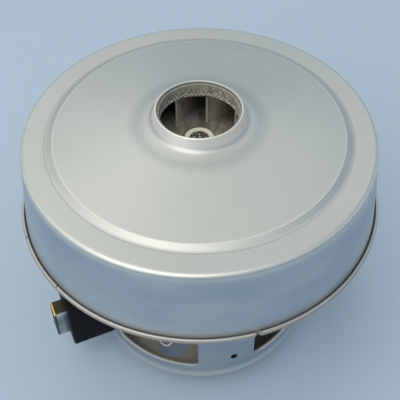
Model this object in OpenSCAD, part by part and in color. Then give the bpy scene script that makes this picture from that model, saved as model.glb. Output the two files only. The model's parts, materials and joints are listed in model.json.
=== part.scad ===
// A vacuum cleaner motor with its fan: a drawn housing carries a series-wound motor, and a domed cover
// closes over the fan. Millimetres, +Z up. It stands on its lower bearing boss with the shaft on the Z axis,
// the brush holders on the X axis and the plain post of the cup near -Y.
// Angles round the cup count from -Y towards +X. What is paired is turned half round the Z axis.

/* [Housing] */
// Outside diameter of the upturned rim
rim_d = 135; // [125:1:145]
// Sheet thickness of the housing
housing_t = 1.2; // [0.8:0.1:1.6]
// Outside diameter of the cup
cup_d = 87; // [82:1:92]
// Outside radius of the cup's bottom corner
cup_corner = 2.5; // [2:0.5:6]
// Depth of the bearing boss below the cup's floor
boss_h = 7; // [5:0.5:9]
// Height of the rim above the tray
lip_h = 1.3; // [1:0.1:3]
// Outside radius of the other bends in the housing's sheet
sheet_bend = 1.8; // [1.3:0.1:2.2]
// Width of the notch cut into the rim from outside
notch_w = 3.4; // [2:0.2:5]
// Depth of the notch
notch_deep = 1.7; // [1:0.1:1.9]
// Place of the notch, degrees left of -Y
notch_at = 6.7; // [2:0.1:12]
// Width of the fine slits in the rim
slit_w = 0.5; // [0.3:0.1:1]

/* [Cup openings] */
// Height of the window sill above the underside of the cup's floor
sill_h = 9.6; // [7:0.1:12]
// Wall left between the window and the stator's lugs
window_band = 2; // [0.5:0.5:4]
// Corner radius of the windows
window_corner = 3; // [1:0.5:5]
// Left edge of the plain post, degrees left of -Y
post_left = 24.4; // [15:0.2:30]
// Right edge of the plain post, degrees right of -Y
post_right = 5.6; // [2:0.2:15]
// Width in degrees of the post behind each brush holder
brush_post = 34; // [30:1:44]
// Diameter of the holes in the cup's floor
floor_hole_d = 13.4; // [8:0.2:15]
// Diameter of the circle that the floor holes lie on
floor_hole_ring = 60; // [54:1:66]
// Diameter of the pierced hole in the plain post
pin_hole_d = 2.8; // [2:0.1:4]
// Height of the pierced hole above the underside of the cup's floor
pin_hole_h = 13.5; // [11:0.5:16]
// Place of the pierced hole, degrees left of -Y
pin_hole_at = 5.7; // [0:0.1:12]

/* [Fan cover] */
// Sheet thickness of the cover
cover_t = 1; // [0.6:0.1:1.4]
// Height of the wall from the tray to the flat shoulder
wall_h = 30.2; // [26:0.1:36]
// How far the wall leans in on its way up
wall_draft = 2.6; // [1:0.1:4]
// Gap between the rim and the foot of the wall
groove_w = 0.6; // [0.3:0.1:1]
// Outside radius of the edge between wall and shoulder
cover_bend = 2.2; // [1.5:0.1:4]
// Width of the flat shoulder
shoulder_w = 8.9; // [6:0.1:12]
// Width of the step up to the dome
step_w = 2.4; // [1.6:0.1:4]
// Height of the step up to the dome
step_h = 1.2; // [0.8:0.1:2]
// Rise of the dome from the step to the flare
dome_rise = 4.2; // [2:0.1:7]
// Width of the flare round the collar
flare_w = 4.8; // [3:0.1:7]
// Rise of the flare
flare_rise = 1; // [0.6:0.1:2]
// Height of the inlet collar
collar_h = 4.1; // [3.5:0.1:7]
// Outside diameter of the collar at its lip
inlet_d = 31.2; // [28:0.1:34]
// How much wider than the lip the collar's foot is, on each side
collar_lean = 1.25; // [0.6:0.05:1.8]

/* [Inlet lining] */
// Inside diameter of the lining
lining_d = 28; // [25:0.1:29]
// How far the lining's top lies below the lip
lining_drop = 0.6; // [0.4:0.1:1.5]
// How far the lining's lower border lies below the lip
lining_h = 5.6; // [5:0.1:7]
// Thickness of the lining's sleeve
sleeve_t = 2.4; // [2:0.1:3]
// Width of the lining's flange beyond its bore
flange_w = 6.2; // [5:0.1:7]
// Height of the flange inside the impeller's neck
flange_h = 2.1; // [1:0.1:3]

/* [Impeller] */
// Diameter of the impeller
impeller_d = 106; // [98:1:110]
// Number of blades
blade_count = 12; // [7:1:14]
// Sheet thickness of the impeller's plates and blades
impeller_t = 0.6; // [0.5:0.1:1]
// Inside diameter of the neck
neck_d = 42.6; // [41:0.1:44]
// Diameter where the blades begin
blade_in_d = 45; // [44:1:56]
// Height of the blades where they begin
blade_in_h = 13.6; // [12:0.1:14]
// Height of the blades at the edge
blade_out_h = 10; // [8:0.1:12]
// Bend radius from the neck to the front plate
neck_bend = 2.5; // [1.5:0.5:4]
// Degrees that a blade sweeps on its way out
blade_sweep = 62; // [40:1:80]
// Gap between the diffuser and the impeller
impeller_gap = 2.7; // [2:0.1:4]
// Diameter of the clamping flanges
clamp_d = 21; // [18:0.5:24]
// Thickness of the clamping flanges
clamp_t = 1.2; // [0.8:0.1:2]
// Height of the hub bush above the back plate
bush_h = 7.8; // [6:0.1:9]
// Width across the flats of the nut
nut_w = 11.7; // [10.5:0.1:13]
// Height of the nut
nut_h = 6; // [4:0.1:7]

/* [Diffuser and bracket] */
// Thickness of the diffuser's disc
disc_t = 1.5; // [1:0.1:2.5]
// Height of the return vanes
return_h = 6.5; // [6:0.1:9]
// Number of return vanes
return_count = 12; // [8:4:16]
// Number of outer vanes
outer_count = 16; // [8:1:24]
// Height of the outer vanes above the underside of the disc
outer_h = 12; // [6:0.5:14]
// Thickness of the vanes
vane_t = 1.5; // [1:0.1:2.2]
// Gap between the impeller and the outer vanes
vane_gap = 1.2; // [0.8:0.1:2]
// Thickness of the bracket's arms
arm_t = 2; // [1.5:0.1:3]
// Width of the bracket's arms
arm_w = 12; // [10:0.5:16]
// Distance of the bracket's screws from the cup's wall
screw_out = 6.5; // [6.2:0.1:8]
// Diameter of the bracket's screws
screw_d = 3.8; // [3:0.1:4.2]
// Diameter of the ring that the diffuser's screws lie on
disc_screw_ring = 62; // [52:1:70]
// Diameter of the diffuser's screws
disc_screw_d = 2.8; // [2.4:0.1:3.2]

/* [Bearings and shaft] */
// Bore of the bearings
bearing_d = 8; // [7:0.5:9]
// Outside diameter of the bearings
bearing_od = 22; // [21:0.5:24]
// Width of the bearings
bearing_w = 7; // [6.5:0.5:8]
// Diameter of the bearings' balls
ball_d = 3.97; // [3.5:0.01:4.1]
// Number of balls in a bearing
ball_count = 7; // [6:1:8]
// Diameter of the shaft between the bearings
shaft_d = 10; // [9.5:0.5:11]
// Diameter of the shaft's threaded end
thread_d = 6.6; // [6:0.1:7.6]
// Thickness of the wave washer
washer_t = 0.6; // [0.3:0.1:1]
// Width of the wave washer's ring
washer_w = 1.1; // [0.8:0.1:1.6]

/* [Rotor] */
// Diameter of the rotor core
rotor_d = 44; // [42:0.5:45]
// Height of the core stacks
stack_h = 24; // [18:0.5:32]
// Number of rotor slots
slot_count = 12; // [10:1:13]
// Diameter of the circle at the bottom of the slots
slot_in_d = 23; // [21:0.5:25]
// Depth of the slots' tooth tips
tip_t = 2.7; // [2:0.1:3.5]
// Height of the rotor's end turns
winding_h = 6.2; // [4:0.1:9]
// Diameter of the commutator
comm_d = 23; // [22:0.5:25]
// Length of the commutator below the brush
comm_below = 0.8; // [0.4:0.1:3]
// Number of commutator bars
bar_count = 24; // [20:2:26]
// Depth of the commutator bars
bar_t = 2.25; // [1.5:0.05:3]

/* [Stator] */
// Gap between the rotor and the stator
air_gap = 0.6; // [0.4:0.1:1]
// Half the width of the stator across its flats
stator_flat = 36.5; // [34:0.5:40]
// Thickness of the pole shoes
shoe_t = 4.6; // [3:0.1:5.5]
// Thickness of the yoke
yoke_t = 8; // [6:0.1:8.5]
// Degrees from the X axis to the end of a coil pocket
pocket_deg = 60; // [50:1:64]
// Height of the field coils' end turns
coil_h = 5.5; // [4:0.1:7]
// Diameter of the stator's screws
stator_screw_d = 3.4; // [3:0.1:3.8]

/* [Brush gear] */
// Height of the brushes' middle above the cup's floor
brush_up = 14.3; // [13:0.1:17]
// Width of a carbon brush
brush_w = 5.7; // [5:0.1:6.5]
// Height of a carbon brush
brush_h = 13.3; // [11:0.1:13.6]
// Length of a carbon brush
brush_l = 27; // [20:0.5:32]
// Wall of the brush tube
tube_t = 0.6; // [0.4:0.05:0.9]
// Length of the tube outside the block
tube_out = 4.2; // [3:0.1:6]
// Thickness of the tube's end cap
cap_t = 0.8; // [0.5:0.1:1.2]
// Depth of the block from the cup's wall
block_l = 16.2; // [13:0.1:18]
// Width of the block
block_w = 18; // [16:0.5:22]
// Block left under the tube
block_wall = 2.4; // [0.6:0.1:3]
// Height of the block above the tube
block_top = 8.6; // [8:0.1:11]
// Distance between the two screws of a block
block_screw_gap = 11; // [9:0.5:12]
// Diameter of the block's screws
block_screw_d = 2.8; // [2.4:0.1:3.2]

/* [Hidden] */
$fn = 96;
bend_steps = 6;

// Clearances: pressed and seated pieces, sliding brushes, pieces that turn past each other
seat = 0.02;
slide_fit = 0.05;
run_gap = 0.3;
hole_fit = 0.1;
cut = 1;

// Radii
rim_r = rim_d / 2;
cup_r = cup_d / 2;
cup_in = cup_r - housing_t;
pocket_r = bearing_od / 2 + seat;
boss_r = pocket_r + housing_t;
foot_r = rim_r - housing_t - groove_w;
top_r = foot_r - wall_draft;
inlet_r = inlet_d / 2;
collar_r = inlet_r + collar_lean;
impeller_r = impeller_d / 2;
comm_r = comm_d / 2;
rotor_r = rotor_d / 2;
bore_r = rotor_r + air_gap;
stator_r = cup_in - hole_fit;
bearing_r = bearing_d / 2;
shaft_r = shaft_d / 2;
thread_r = thread_d / 2;

// Levels from the foot upwards
floor_z = boss_h;
floor_top = floor_z + housing_t;
lower_bearing_z = housing_t + washer_t;
brush_z = floor_top + brush_up;
riser_h = 1.5;
riser_gap = 0.6;
comm_z0 = brush_z - brush_h / 2 - comm_below;
comm_z1 = brush_z + brush_h / 2 + riser_gap + riser_h;
winding_gap = 0.55;
stack_z0 = comm_z1 + winding_gap + winding_h;
stack_z1 = stack_z0 + stack_h;
hub_gap = 0.6;
hub_z0 = stack_z1 + winding_h + hub_gap;
hub_drop = 3.7;
tray_top = hub_z0 + hub_drop;
tray_z = tray_top - housing_t;
lip_top = tray_top + lip_h;
arm_z1 = tray_top + arm_t;
hub_skirt = 0.4;
upper_bearing_z = hub_z0 + hub_skirt;
hub_lip = 1;
hub_z1 = upper_bearing_z + bearing_w + hub_lip;
disc_z0 = arm_z1 + return_h;
disc_z1 = disc_z0 + disc_t;
plate_z0 = disc_z1 + impeller_gap;
plate_z1 = plate_z0 + impeller_t;
bush_z1 = plate_z1 + bush_h;
nut_z1 = bush_z1 + nut_h;
thread_end = 0.6;
shaft_z0 = lower_bearing_z + hub_skirt;
shaft_z1 = nut_z1 + thread_end;

// Housing: its underside from the axis to the rim, in zones that meet on straight runs
sheet_tone = [0.72, 0.74, 0.75];
zone_lap = 0.3;
boss_bend = min(sheet_bend, housing_t + washer_t);
boss_z1 = boss_h / 2;
floor_r1 = cup_r - cup_corner - zone_lap;
wall_z1 = tray_z - sheet_bend - zone_lap;
boss_path = [[0, 0], [boss_r, 0], [boss_r, boss_z1]];
floor_path = [[boss_r, boss_z1], [boss_r, floor_z], [floor_r1, floor_z]];
sill_path = [[floor_r1, floor_z], [cup_r, floor_z], [cup_r, floor_z + sill_h]];
tray_path = [[cup_r, wall_z1], [cup_r, tray_z], [rim_r, tray_z], [rim_r, lip_top]];

// Fan cover: its outside from the foot of the wall to the lip of the inlet, and the bends on the way
wall_top = tray_top + wall_h;
step_r = top_r - shoulder_w;
crest_r = step_r - step_w;
crest_z = wall_top + step_h;
flare_r = collar_r + flare_w;
flare_z = crest_z + dome_rise;
collar_z = flare_z + flare_rise;
inlet_z = collar_z + collar_h;
step_bend = 1.2;
flare_bend = 12;
collar_bend = 2.4;
foot_h = 1;
foot_bend = 4;
cover_path = [[foot_r, tray_top], [foot_r, tray_top + foot_h], [top_r, wall_top], [step_r, wall_top],
              [crest_r, crest_z], [flare_r, flare_z], [collar_r, collar_z], [inlet_r, inlet_z]];
cover_radii = [foot_bend, cover_bend, step_bend, step_bend, flare_bend, collar_bend];
collar_tilt = atan(collar_lean / collar_h);
flare_tilt = atan(flare_rise / flare_w);

// Inlet lining
lining_r = lining_d / 2;
lining_z0 = inlet_z - lining_h;
lining_z1 = inlet_z - lining_drop;
flange_r = lining_r + flange_w;
flange_z0 = lining_z0 - flange_h;

// Impeller's front plate: its underside from the neck to the edge
neck_r = neck_d / 2;
blade_in_r = blade_in_d / 2;
neck_lap = 0.5;
neck_top = flange_z0 + neck_lap;
front_slope = (blade_in_h - blade_out_h) / (impeller_r - blade_in_r);
front_path = [[neck_r, neck_top], [neck_r, front_z(neck_r)], [impeller_r, front_z(impeller_r)]];
blade_edge = 0.6;
neck_straight = 0.5;
neck_bend_r = min(neck_bend, neck_top - front_z(neck_r) - neck_straight);

// Diffuser
vane_foot = 3.3;
disc_r = impeller_r + vane_gap + vane_foot;
outer_vane_in = impeller_r + vane_gap;
wall_clear = 1.5;
outer_vane_out = wall_in(disc_z0 + outer_h) - wall_clear;
outer_sweep = 9;
return_in_r = 20;
return_sweep = 38;
disc_bore_wall = 5;
disc_bore_r = bearing_r + disc_bore_wall;
disc_head_h = 1.2;
disc_head_d = 5.4;
disc_boss_d = 8;
disc_screw_grip = 4;
disc_screw_hole = disc_screw_d + hole_fit * 2;

// Bracket and its screws
hub_wall = 2.5;
hub_r = bearing_od / 2 + hub_wall;
screw_ring = cup_r + screw_out;
screw_hole = screw_d + hole_fit * 2;
screw_head_d = 7.2;
screw_head_h = 2.2;
screw_below = 4;
nut_side = 7;
small_nut_h = 3.2;

// Bearings
ball_r = ball_d / 2;
ball_ring = (bearing_r + bearing_od / 2) / 2;
groove_r = ball_r + slide_fit * 2;
race_deep = 0.28;
outer_race_r = ball_ring + ball_r - race_deep;
inner_race_r = ball_ring - ball_r + race_deep;
shield_t = 0.25;
shield_in = 0.15;
shield_lap = 0.3;
cage_t = 0.9;
cage_wall = 0.55;

// Shaft pieces
slinger_r = 9;
slinger_t = 1.2;
slinger_up = 0.9;
bush_r = 6;
shaft_chamfer = 0.5;

// Rotor
slot_r0 = slot_in_d / 2;
slot_r1 = rotor_r - tip_t;
slot_half0 = 1.6;
slot_half1 = 3.4;
slot_mouth = 1.2;
liner_t = 0.3;
wedge_t = 0.8;
end_plate_t = 0.8;
winding_clear = 2.5;
winding_in = shaft_r + winding_clear;
winding_slope = 2.2;
bar_gap = 0.5;
riser_out = 1.5;

// Stator
pocket_r0 = bore_r + shoe_t;
pocket_r1 = stator_r - yoke_t;
tip_gap = 10;
liner_gap = 0.4;
coil_r0 = pocket_r0 + liner_gap;
coil_r1 = pocket_r1 - liner_gap;
coil_deg = 6;
leg_clear_deg = 3;
leg_deg = pocket_deg - leg_clear_deg;
insulator_t = 0.5;
insulator_lap = 0.8;
coil_z0 = stack_z0 - insulator_t - coil_h;
coil_z1 = stack_z1 + insulator_t + coil_h;
stator_screw_ring = stator_r - yoke_t / 2;
stator_screw_hole = stator_screw_d + hole_fit * 4;
stator_head_d = 6;
stator_head_h = 2.4;
lug_t = 2;
lug_w = 8;
lug_in = 3;
lug_r0 = stator_screw_ring - lug_in;
ear_from_deg = 54;
ear_to_deg = 72;
tab_deg = 60;
tab_w = 6.3;
tab_t = 0.8;
tab_h = 10;
tab_out = 3;
tab_r = pocket_r1 + tab_out;

// Brush gear, for the brush on +X
brush_x0 = comm_r + run_gap;
brush_x1 = brush_x0 + brush_l;
tube_w = brush_w + 2 * (slide_fit + tube_t);
tube_h = brush_h + 2 * (slide_fit + tube_t);
tube_clear = 1;
tube_x0 = comm_r + riser_out + tube_clear;
block_x1 = cup_r + block_l;
tube_x1 = block_x1 + tube_out;
plug_l = 1.4;
block_z0 = brush_z - tube_h / 2 - block_wall;
block_z1 = brush_z + tube_h / 2 + block_top;
block_screw_up = 0.4;
block_screw_z = brush_z + tube_h / 2 + block_top / 2 + block_screw_up;
block_head_d = 5;
block_head_h = 1.8;
block_sink = 2;
block_head_x = block_x1 - block_sink - block_head_h;
block_screw_hole = block_screw_d + hole_fit * 2;
slot_clear = 0.4;
spring_x0 = brush_x1;
spring_x1 = tube_x1 - plug_l;
spring_r = 2.1;
spring_wire_r = 0.32;
spring_curls = 9;
curl_rings = 8;
shunt_r = 0.8;

// Windows, from the foot of the lugs down to the sill
sill_z = floor_z + sill_h;
window_z1 = stack_z0 - lug_t - window_band;
window_spans = [[post_right, 90 - brush_post / 2], [90 + brush_post / 2, 180 - post_left]];
plug_lap = 0.1;
slit_at = [-92, -70];

// Field lead of the brush on -X: from its coil down to the cup's floor and up to the side of the tube
lead_r = 0.5;
lead_sides = 8;
lead_steps = 3;
lead_route = [[-20.5, -23, coil_z0], [-20.5, -23.4, coil_z0 - 3], [-21.2, -24.4, floor_top + 14],
              [-23, -25, floor_top + 8.5], [-25, -24.2, floor_top + 4.8], [-26.6, -21.5, floor_top + 3.8],
              [-27.6, -17.5, floor_top + 5], [-28, -13, brush_z - 5.5], [-28, -9, brush_z - 2.7],
              [-28, -6, brush_z - 1.4], [-28, -tube_w / 2, brush_z - 1.2]];

// Height of the underside of the impeller's front plate at radius r
function front_z(r) = plate_z1 + blade_out_h + front_slope * (impeller_r - r);

// Inside radius of the cover's wall at height z
function wall_in(z) = foot_r - cover_t - wall_draft * (z - tray_top - foot_h) / (wall_h - foot_h);

// Inside radius of the inlet collar at height z
function collar_in(z) = inlet_r + (inlet_z - z) * tan(collar_tilt) - cover_t / cos(collar_tilt);

// Height of the cover's underside over the flare at radius r
function flare_under(r) = collar_z - (r - collar_r) * tan(flare_tilt) - cover_t / cos(flare_tilt);

function unit(v) = v / norm(v);
function heading(v) = atan2(v[1], v[0]);
function left_of(v) = [-v[1], v[0]];
function polar(r, a) = [r * cos(a), r * sin(a)];
function swing(a) = a > 180 ? a - 360 : a < -180 ? a + 360 : a;
function reversed(list) = [for (i = [len(list) - 1:-1:0]) list[i]];

// One corner q of a path from p to s, as an arc of radius r
function bend(p, q, s, r) =
    let (u = unit(p - q), w = unit(s - q), half = acos(u * w) / 2)
    let (c = q + unit(u + w) * r / sin(half), d = r / tan(half))
    let (a = heading(q + u * d - c), sweep = swing(heading(q + w * d - c) - a))
    r <= 0 ? [q] : [for (i = [0:bend_steps]) c + polar(r, a + sweep * i / bend_steps)];

// A path with its corners bent to the given radii
function bent(path, radii) =
    let (last = len(path) - 1)
    [for (i = [0:last])
        each (i == 0 || i == last ? [path[i]] : bend(path[i - 1], path[i], path[i + 1], radii[i - 1]))];

// Direction of a path's run that starts at point i
function run(path, i) =
    let (k = min(max(i, 0), len(path) - 2))
    unit(path[k + 1] - path[k]);

// The path moved to its left by t, with mitred corners
function beside(path, t) =
    [for (i = [0:len(path) - 1])
        let (m = left_of(run(path, i - 1)), n = left_of(run(path, i)))
        path[i] + (m + n) * t / (1 + m * n)];

// The bend radii that go with the path moved to its left by t
function beside_radii(path, radii, t) =
    [for (i = [1:len(path) - 2])
        let (left_turn = left_of(run(path, i - 1)) * run(path, i) > 0)
        max(0, radii[i - 1] + (left_turn ? -t : t))];

// Section of a bent sheet of thickness t that lies to the left of a path, with a round end
function sheet(path, radii, t) =
    let (inner = beside(path, t), last = len(path) - 1)
    let (middle = (path[last] + inner[last]) / 2, start = heading(path[last] - middle))
    concat(bent(path, radii),
           [for (i = [1:bend_steps - 1]) middle + polar(t / 2, start + 180 * i / bend_steps)],
           reversed(bent(inner, beside_radii(path, radii, t))));

// The same section with flat ends
function strip(path, radii, t) =
    concat(bent(path, radii), reversed(bent(beside(path, t), beside_radii(path, radii, t))));

// Outline of a swept vane of thickness t from radius r0 to r1, with its angle falling by sweep on the way out
vane_steps = 8;
function vane_middle(r0, r1, sweep, f) = polar(r0 + (r1 - r0) * f, -sweep * f);
function vane_side(r0, r1, sweep, f) =
    let (d = 0.001)
    left_of(unit(vane_middle(r0, r1, sweep, f + d) - vane_middle(r0, r1, sweep, f - d)));
function vane(r0, r1, sweep, t) =
    concat([for (i = [0:vane_steps])
                let (f = i / vane_steps) vane_middle(r0, r1, sweep, f) + vane_side(r0, r1, sweep, f) * t / 2],
           [for (i = [vane_steps:-1:0])
                let (f = i / vane_steps) vane_middle(r0, r1, sweep, f) - vane_side(r0, r1, sweep, f) * t / 2]);

// A smooth curve through a list of points, with a few steps between each two
function curve_at(a, b, c, d, f) =
    b + (c - a) * f / 2 + (2 * a - 5 * b + 4 * c - d) * f * f / 2 + (3 * b - 3 * c + d - a) * f * f * f / 2;
function smooth(points, steps) =
    let (last = len(points) - 1)
    concat([for (i = [0:last - 1])
                let (a = points[max(0, i - 1)], d = points[min(last, i + 2)])
                for (k = [0:steps - 1]) curve_at(a, points[i], points[i + 1], d, k / steps)],
           [points[last]]);

// Points along the spring's wire, and the least gap from one curl to the next
spring_points =
    let (rings = curl_rings * spring_curls, length = spring_x1 - spring_x0 - 2 * spring_wire_r)
    [for (i = [0:rings])
        let (a = 360 * i / curl_rings)
        [spring_x0 + spring_wire_r + length * i / rings, spring_r * cos(a), brush_z + spring_r * sin(a)]];
spring_gap = min([for (i = [0:len(spring_points) - 1 - curl_rings])
                     norm(spring_points[i + curl_rings] - spring_points[i])]) - 2 * spring_wire_r;
echo(spring_gap = spring_gap);

// A tube of radius r along a list of points that never runs along X
module tube_along(points, r, sides) {
    last = len(points) - 1;
    rings = [for (i = [0:last])
                let (t = unit(points[min(last, i + 1)] - points[max(0, i - 1)]))
                let (u = unit(cross(t, [1, 0, 0])), w = cross(t, u))
                for (k = [0:sides - 1]) points[i] + r * (u * cos(360 * k / sides) + w * sin(360 * k / sides))];
    walls = [for (i = [0:last - 1], k = [0:sides - 1])
                let (a = i * sides + k, b = i * sides + (k + 1) % sides)
                each [[a, b, b + sides], [a, b + sides, a + sides]]];
    ends = [for (k = [1:sides - 2])
                each [[0, k + 1, k], [last * sides, last * sides + k, last * sides + k + 1]]];
    polyhedron(points = rings, faces = concat(walls, ends));
}

// Helpers that place and repeat
module around(a) { rotate([0, 0, a - 90]) children(); }
module turned() { rotate([0, 0, 180]) children(); }
module pair() { for (a = [0, 180]) rotate([0, 0, a]) children(); }
module diagonals() { for (a = [45:90:315]) rotate([0, 0, a]) children(); }
module ring(r0, r1, z0, z1) { rotate_extrude() translate([r0, z0]) square([r1 - r0, z1 - z0]); }
module drill_x(d, x0, x1) { translate([x0, 0, 0]) rotate([0, 90, 0]) cylinder(d = d, h = x1 - x0); }
module rod(d, z0, z1) { translate([0, 0, z0]) cylinder(d = d, h = z1 - z0); }
module bar_x(x0, x1, w, z0, z1) { translate([x0, -w / 2, z0]) cube([x1 - x0, w, z1 - z0]); }

// A piece of a ring from angle a0 to a1, counted from +X
module arc_ring(r0, r1, z0, z1, a0, a1) {
    rotate([0, 0, a0]) rotate_extrude(angle = a1 - a0) translate([r0, z0]) square([r1 - r0, z1 - z0]);
}

// Outline of a rectangle with bent corners
function rounded_box(x0, x1, y0, y1, r) =
    let (c = [[x0, y0], [x1, y0], [x1, y1], [x0, y1]])
    [for (i = [0:3]) each bend(c[(i + 3) % 4], c[i], c[(i + 1) % 4], r)];

// The cut of one window, punched from outside between the angles a0 and a1 round the cup
module window_cut(a0, a1) {
    half = cup_r * sin((a1 - a0) / 2);
    reach = cup_in * cos((a1 - a0) / 2) - cut;
    around((a0 + a1) / 2) translate([reach, 0, 0]) rotate([90, 0, 90]) linear_extrude(cup_r + cut - reach)
        polygon(rounded_box(-half, half, sill_z - plug_lap, window_z1 + plug_lap, window_corner + plug_lap));
}

// Housing, drawn from one sheet, in zones that butt together; cover and lining

module housing_tray() {
    color(sheet_tone) difference() {
        rotate_extrude() polygon(sheet(tray_path, [sheet_bend, sheet_bend], housing_t));
        diagonals() translate([screw_ring, 0, 0]) rod(screw_hole, tray_z - cut, tray_top + cut);
        around(-notch_at) translate([rim_r - notch_deep, 0, tray_z - cut])
            linear_extrude(lip_top + housing_t - tray_z + cut)
                polygon([[0, 0], [notch_deep * 2, -notch_w], [notch_deep * 2, notch_w]]);
        for (a = slit_at)
            around(a) bar_x(rim_r - housing_t * 2, rim_r + cut, slit_w, lip_top - lip_h / 2, lip_top + cut);
    }
}

module cup_wall() {
    color(sheet_tone) difference() {
        union() {
            ring(cup_in, cup_r, window_z1, wall_z1);
            diagonals() bar_x(lug_r0, cup_in + housing_t / 2, lug_w, stack_z0 - lug_t, stack_z0);
        }
        holder_screw_holes();
        diagonals() translate([stator_screw_ring, 0, 0])
            rod(stator_screw_hole, stack_z0 - lug_t - cut, stack_z0 + cut);
    }
}

module cup_posts() {
    color(sheet_tone) difference() {
        ring(cup_in, cup_r, sill_z, window_z1);
        pair() for (span = window_spans) window_cut(span[0], span[1]);
        tube_slots();
        holder_screw_holes();
        pair() around(-pin_hole_at) translate([0, 0, floor_z + pin_hole_h])
            drill_x(pin_hole_d, cup_in - cut, cup_r + cut);
    }
}

module cup_sill() {
    color(sheet_tone) difference() {
        rotate_extrude() polygon(strip(sill_path, [cup_corner], housing_t));
        tube_slots();
        floor_holes();
    }
}

module cup_floor() {
    color(sheet_tone) difference() {
        rotate_extrude() polygon(strip(floor_path, [sheet_bend], housing_t));
        floor_holes();
    }
}

module bearing_cup() {
    color(sheet_tone) rotate_extrude() polygon(strip(boss_path, [boss_bend], housing_t));
}

module tube_slots() {
    pair() bar_x(cup_in - cut, cup_r + cut, tube_w + slot_clear * 2,
                 brush_z - tube_h / 2 - slot_clear, brush_z + tube_h / 2 + slot_clear);
}

module holder_screw_holes() {
    pair() block_screw_places() drill_x(block_screw_hole, cup_in - cut, cup_r + cut);
}

module floor_holes() {
    diagonals() translate([floor_hole_ring / 2, 0, 0]) rod(floor_hole_d, floor_z - cut, floor_top + cut);
}

module fan_cover() {
    color([0.76, 0.78, 0.77]) rotate_extrude() polygon(sheet(cover_path, cover_radii, cover_t));
}

module inlet_lining() {
    corner = beside(cover_path, cover_t)[len(cover_path) - 2];
    recess_r = lining_r + sleeve_t;
    color([0.55, 0.55, 0.52]) rotate_extrude() polygon([
        [lining_r, lining_z0], [lining_r, lining_z1],
        [collar_in(lining_z1) - slide_fit, lining_z1],
        [corner[0] - slide_fit, corner[1]], [corner[0], corner[1] - slide_fit],
        [flange_r, flare_under(flange_r) - slide_fit], [flange_r, flange_z0],
        [recess_r, flange_z0], [recess_r, lining_z0]]);
}

// Diffuser and bracket

module diffuser() {
    color([0.16, 0.16, 0.17]) difference() {
        union() {
            ring(disc_bore_r, disc_r, disc_z0, disc_z1);
            for (k = [0:return_count - 1])
                rotate([0, 0, 360 * k / return_count + return_sweep]) translate([0, 0, arm_z1])
                    linear_extrude(return_h + disc_t / 2)
                        polygon(vane(return_in_r, disc_r - vane_t, return_sweep, vane_t));
            for (k = [0:outer_count - 1]) rotate([0, 0, 360 * k / outer_count]) translate([0, 0, disc_z0])
                linear_extrude(outer_h) polygon(vane(outer_vane_in, outer_vane_out, outer_sweep, vane_t));
            disc_screw_places() rod(disc_boss_d, arm_z1, disc_z0 + disc_t / 2);
        }
        disc_screw_places() rod(disc_screw_hole, arm_z1 - cut, disc_z1 + cut);
        disc_screw_places() rod(disc_head_d + hole_fit * 2, disc_z1 - disc_head_h, disc_z1 + cut);
    }
}

module disc_screw_places() { diagonals() translate([disc_screw_ring / 2, 0, 0]) children(); }

module diffuser_screws() {
    color([0.6, 0.6, 0.62]) disc_screw_places() {
        rod(disc_head_d, disc_z1 - disc_head_h, disc_z1);
        rod(disc_screw_d, arm_z1 - disc_screw_grip, disc_z1 - disc_head_h / 2);
    }
}

module upper_bracket() {
    color([0.7, 0.71, 0.72]) difference() {
        union() {
            rod(hub_r * 2, hub_z0, hub_z1);
            diagonals() bar_x(0, screw_ring, arm_w, tray_top, arm_z1);
            diagonals() translate([screw_ring, 0, 0]) rod(arm_w, tray_top, arm_z1);
        }
        rod(bearing_od + seat * 2, hub_z0 - cut, upper_bearing_z + bearing_w);
        rod(bearing_od - hub_wall * 2, hub_z0, hub_z1 + cut);
        diagonals() translate([screw_ring, 0, 0]) rod(screw_hole, tray_top - cut, arm_z1 + cut);
        disc_screw_places() rod(disc_screw_hole, tray_top - cut, arm_z1 + cut);
    }
}

module bracket_screws() {
    color([0.62, 0.62, 0.64]) diagonals() translate([screw_ring, 0, 0]) {
        rod(screw_head_d, arm_z1, arm_z1 + screw_head_h);
        rod(screw_d, tray_z - screw_below, arm_z1 + screw_head_h / 2);
    }
}

module bracket_nuts() {
    color([0.6, 0.6, 0.58]) diagonals() translate([screw_ring, 0, tray_z - small_nut_h]) difference() {
        cylinder(d = nut_side / cos(30), h = small_nut_h, $fn = 6);
        rod(screw_d + seat * 2, -cut, small_nut_h + cut);
    }
}

// Impeller

module impeller_back_plate() {
    color([0.62, 0.6, 0.57]) ring(thread_r + seat, impeller_r, plate_z0, plate_z1);
}

module impeller_blades() {
    blade_r1 = impeller_r - blade_edge;
    color([0.66, 0.63, 0.6]) intersection() {
        for (k = [0:blade_count - 1]) rotate([0, 0, 360 * k / blade_count]) translate([0, 0, plate_z1])
            linear_extrude(blade_in_h + cut) polygon(vane(blade_in_r, blade_r1, blade_sweep, impeller_t));
        rotate_extrude() polygon([
            [blade_in_r - cut, plate_z1], [impeller_r, plate_z1],
            [impeller_r, front_z(impeller_r) - seat], [blade_in_r - cut, front_z(blade_in_r - cut) - seat]]);
    }
}

module impeller_front_plate() {
    color([0.62, 0.6, 0.57]) rotate_extrude() polygon(sheet(front_path, [neck_bend_r], impeller_t));
}

module impeller_spacer() {
    color([0.7, 0.68, 0.6]) {
        ring(bearing_r + seat, bush_r, upper_bearing_z + bearing_w, plate_z0);
        ring(bush_r - cut, clamp_d / 2, plate_z0 - clamp_t, plate_z0);
    }
}

module hub_bush() {
    color([0.7, 0.68, 0.6]) {
        ring(thread_r + seat, bush_r, plate_z1, bush_z1);
        ring(bush_r - cut, clamp_d / 2, plate_z1, plate_z1 + clamp_t);
    }
}

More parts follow.
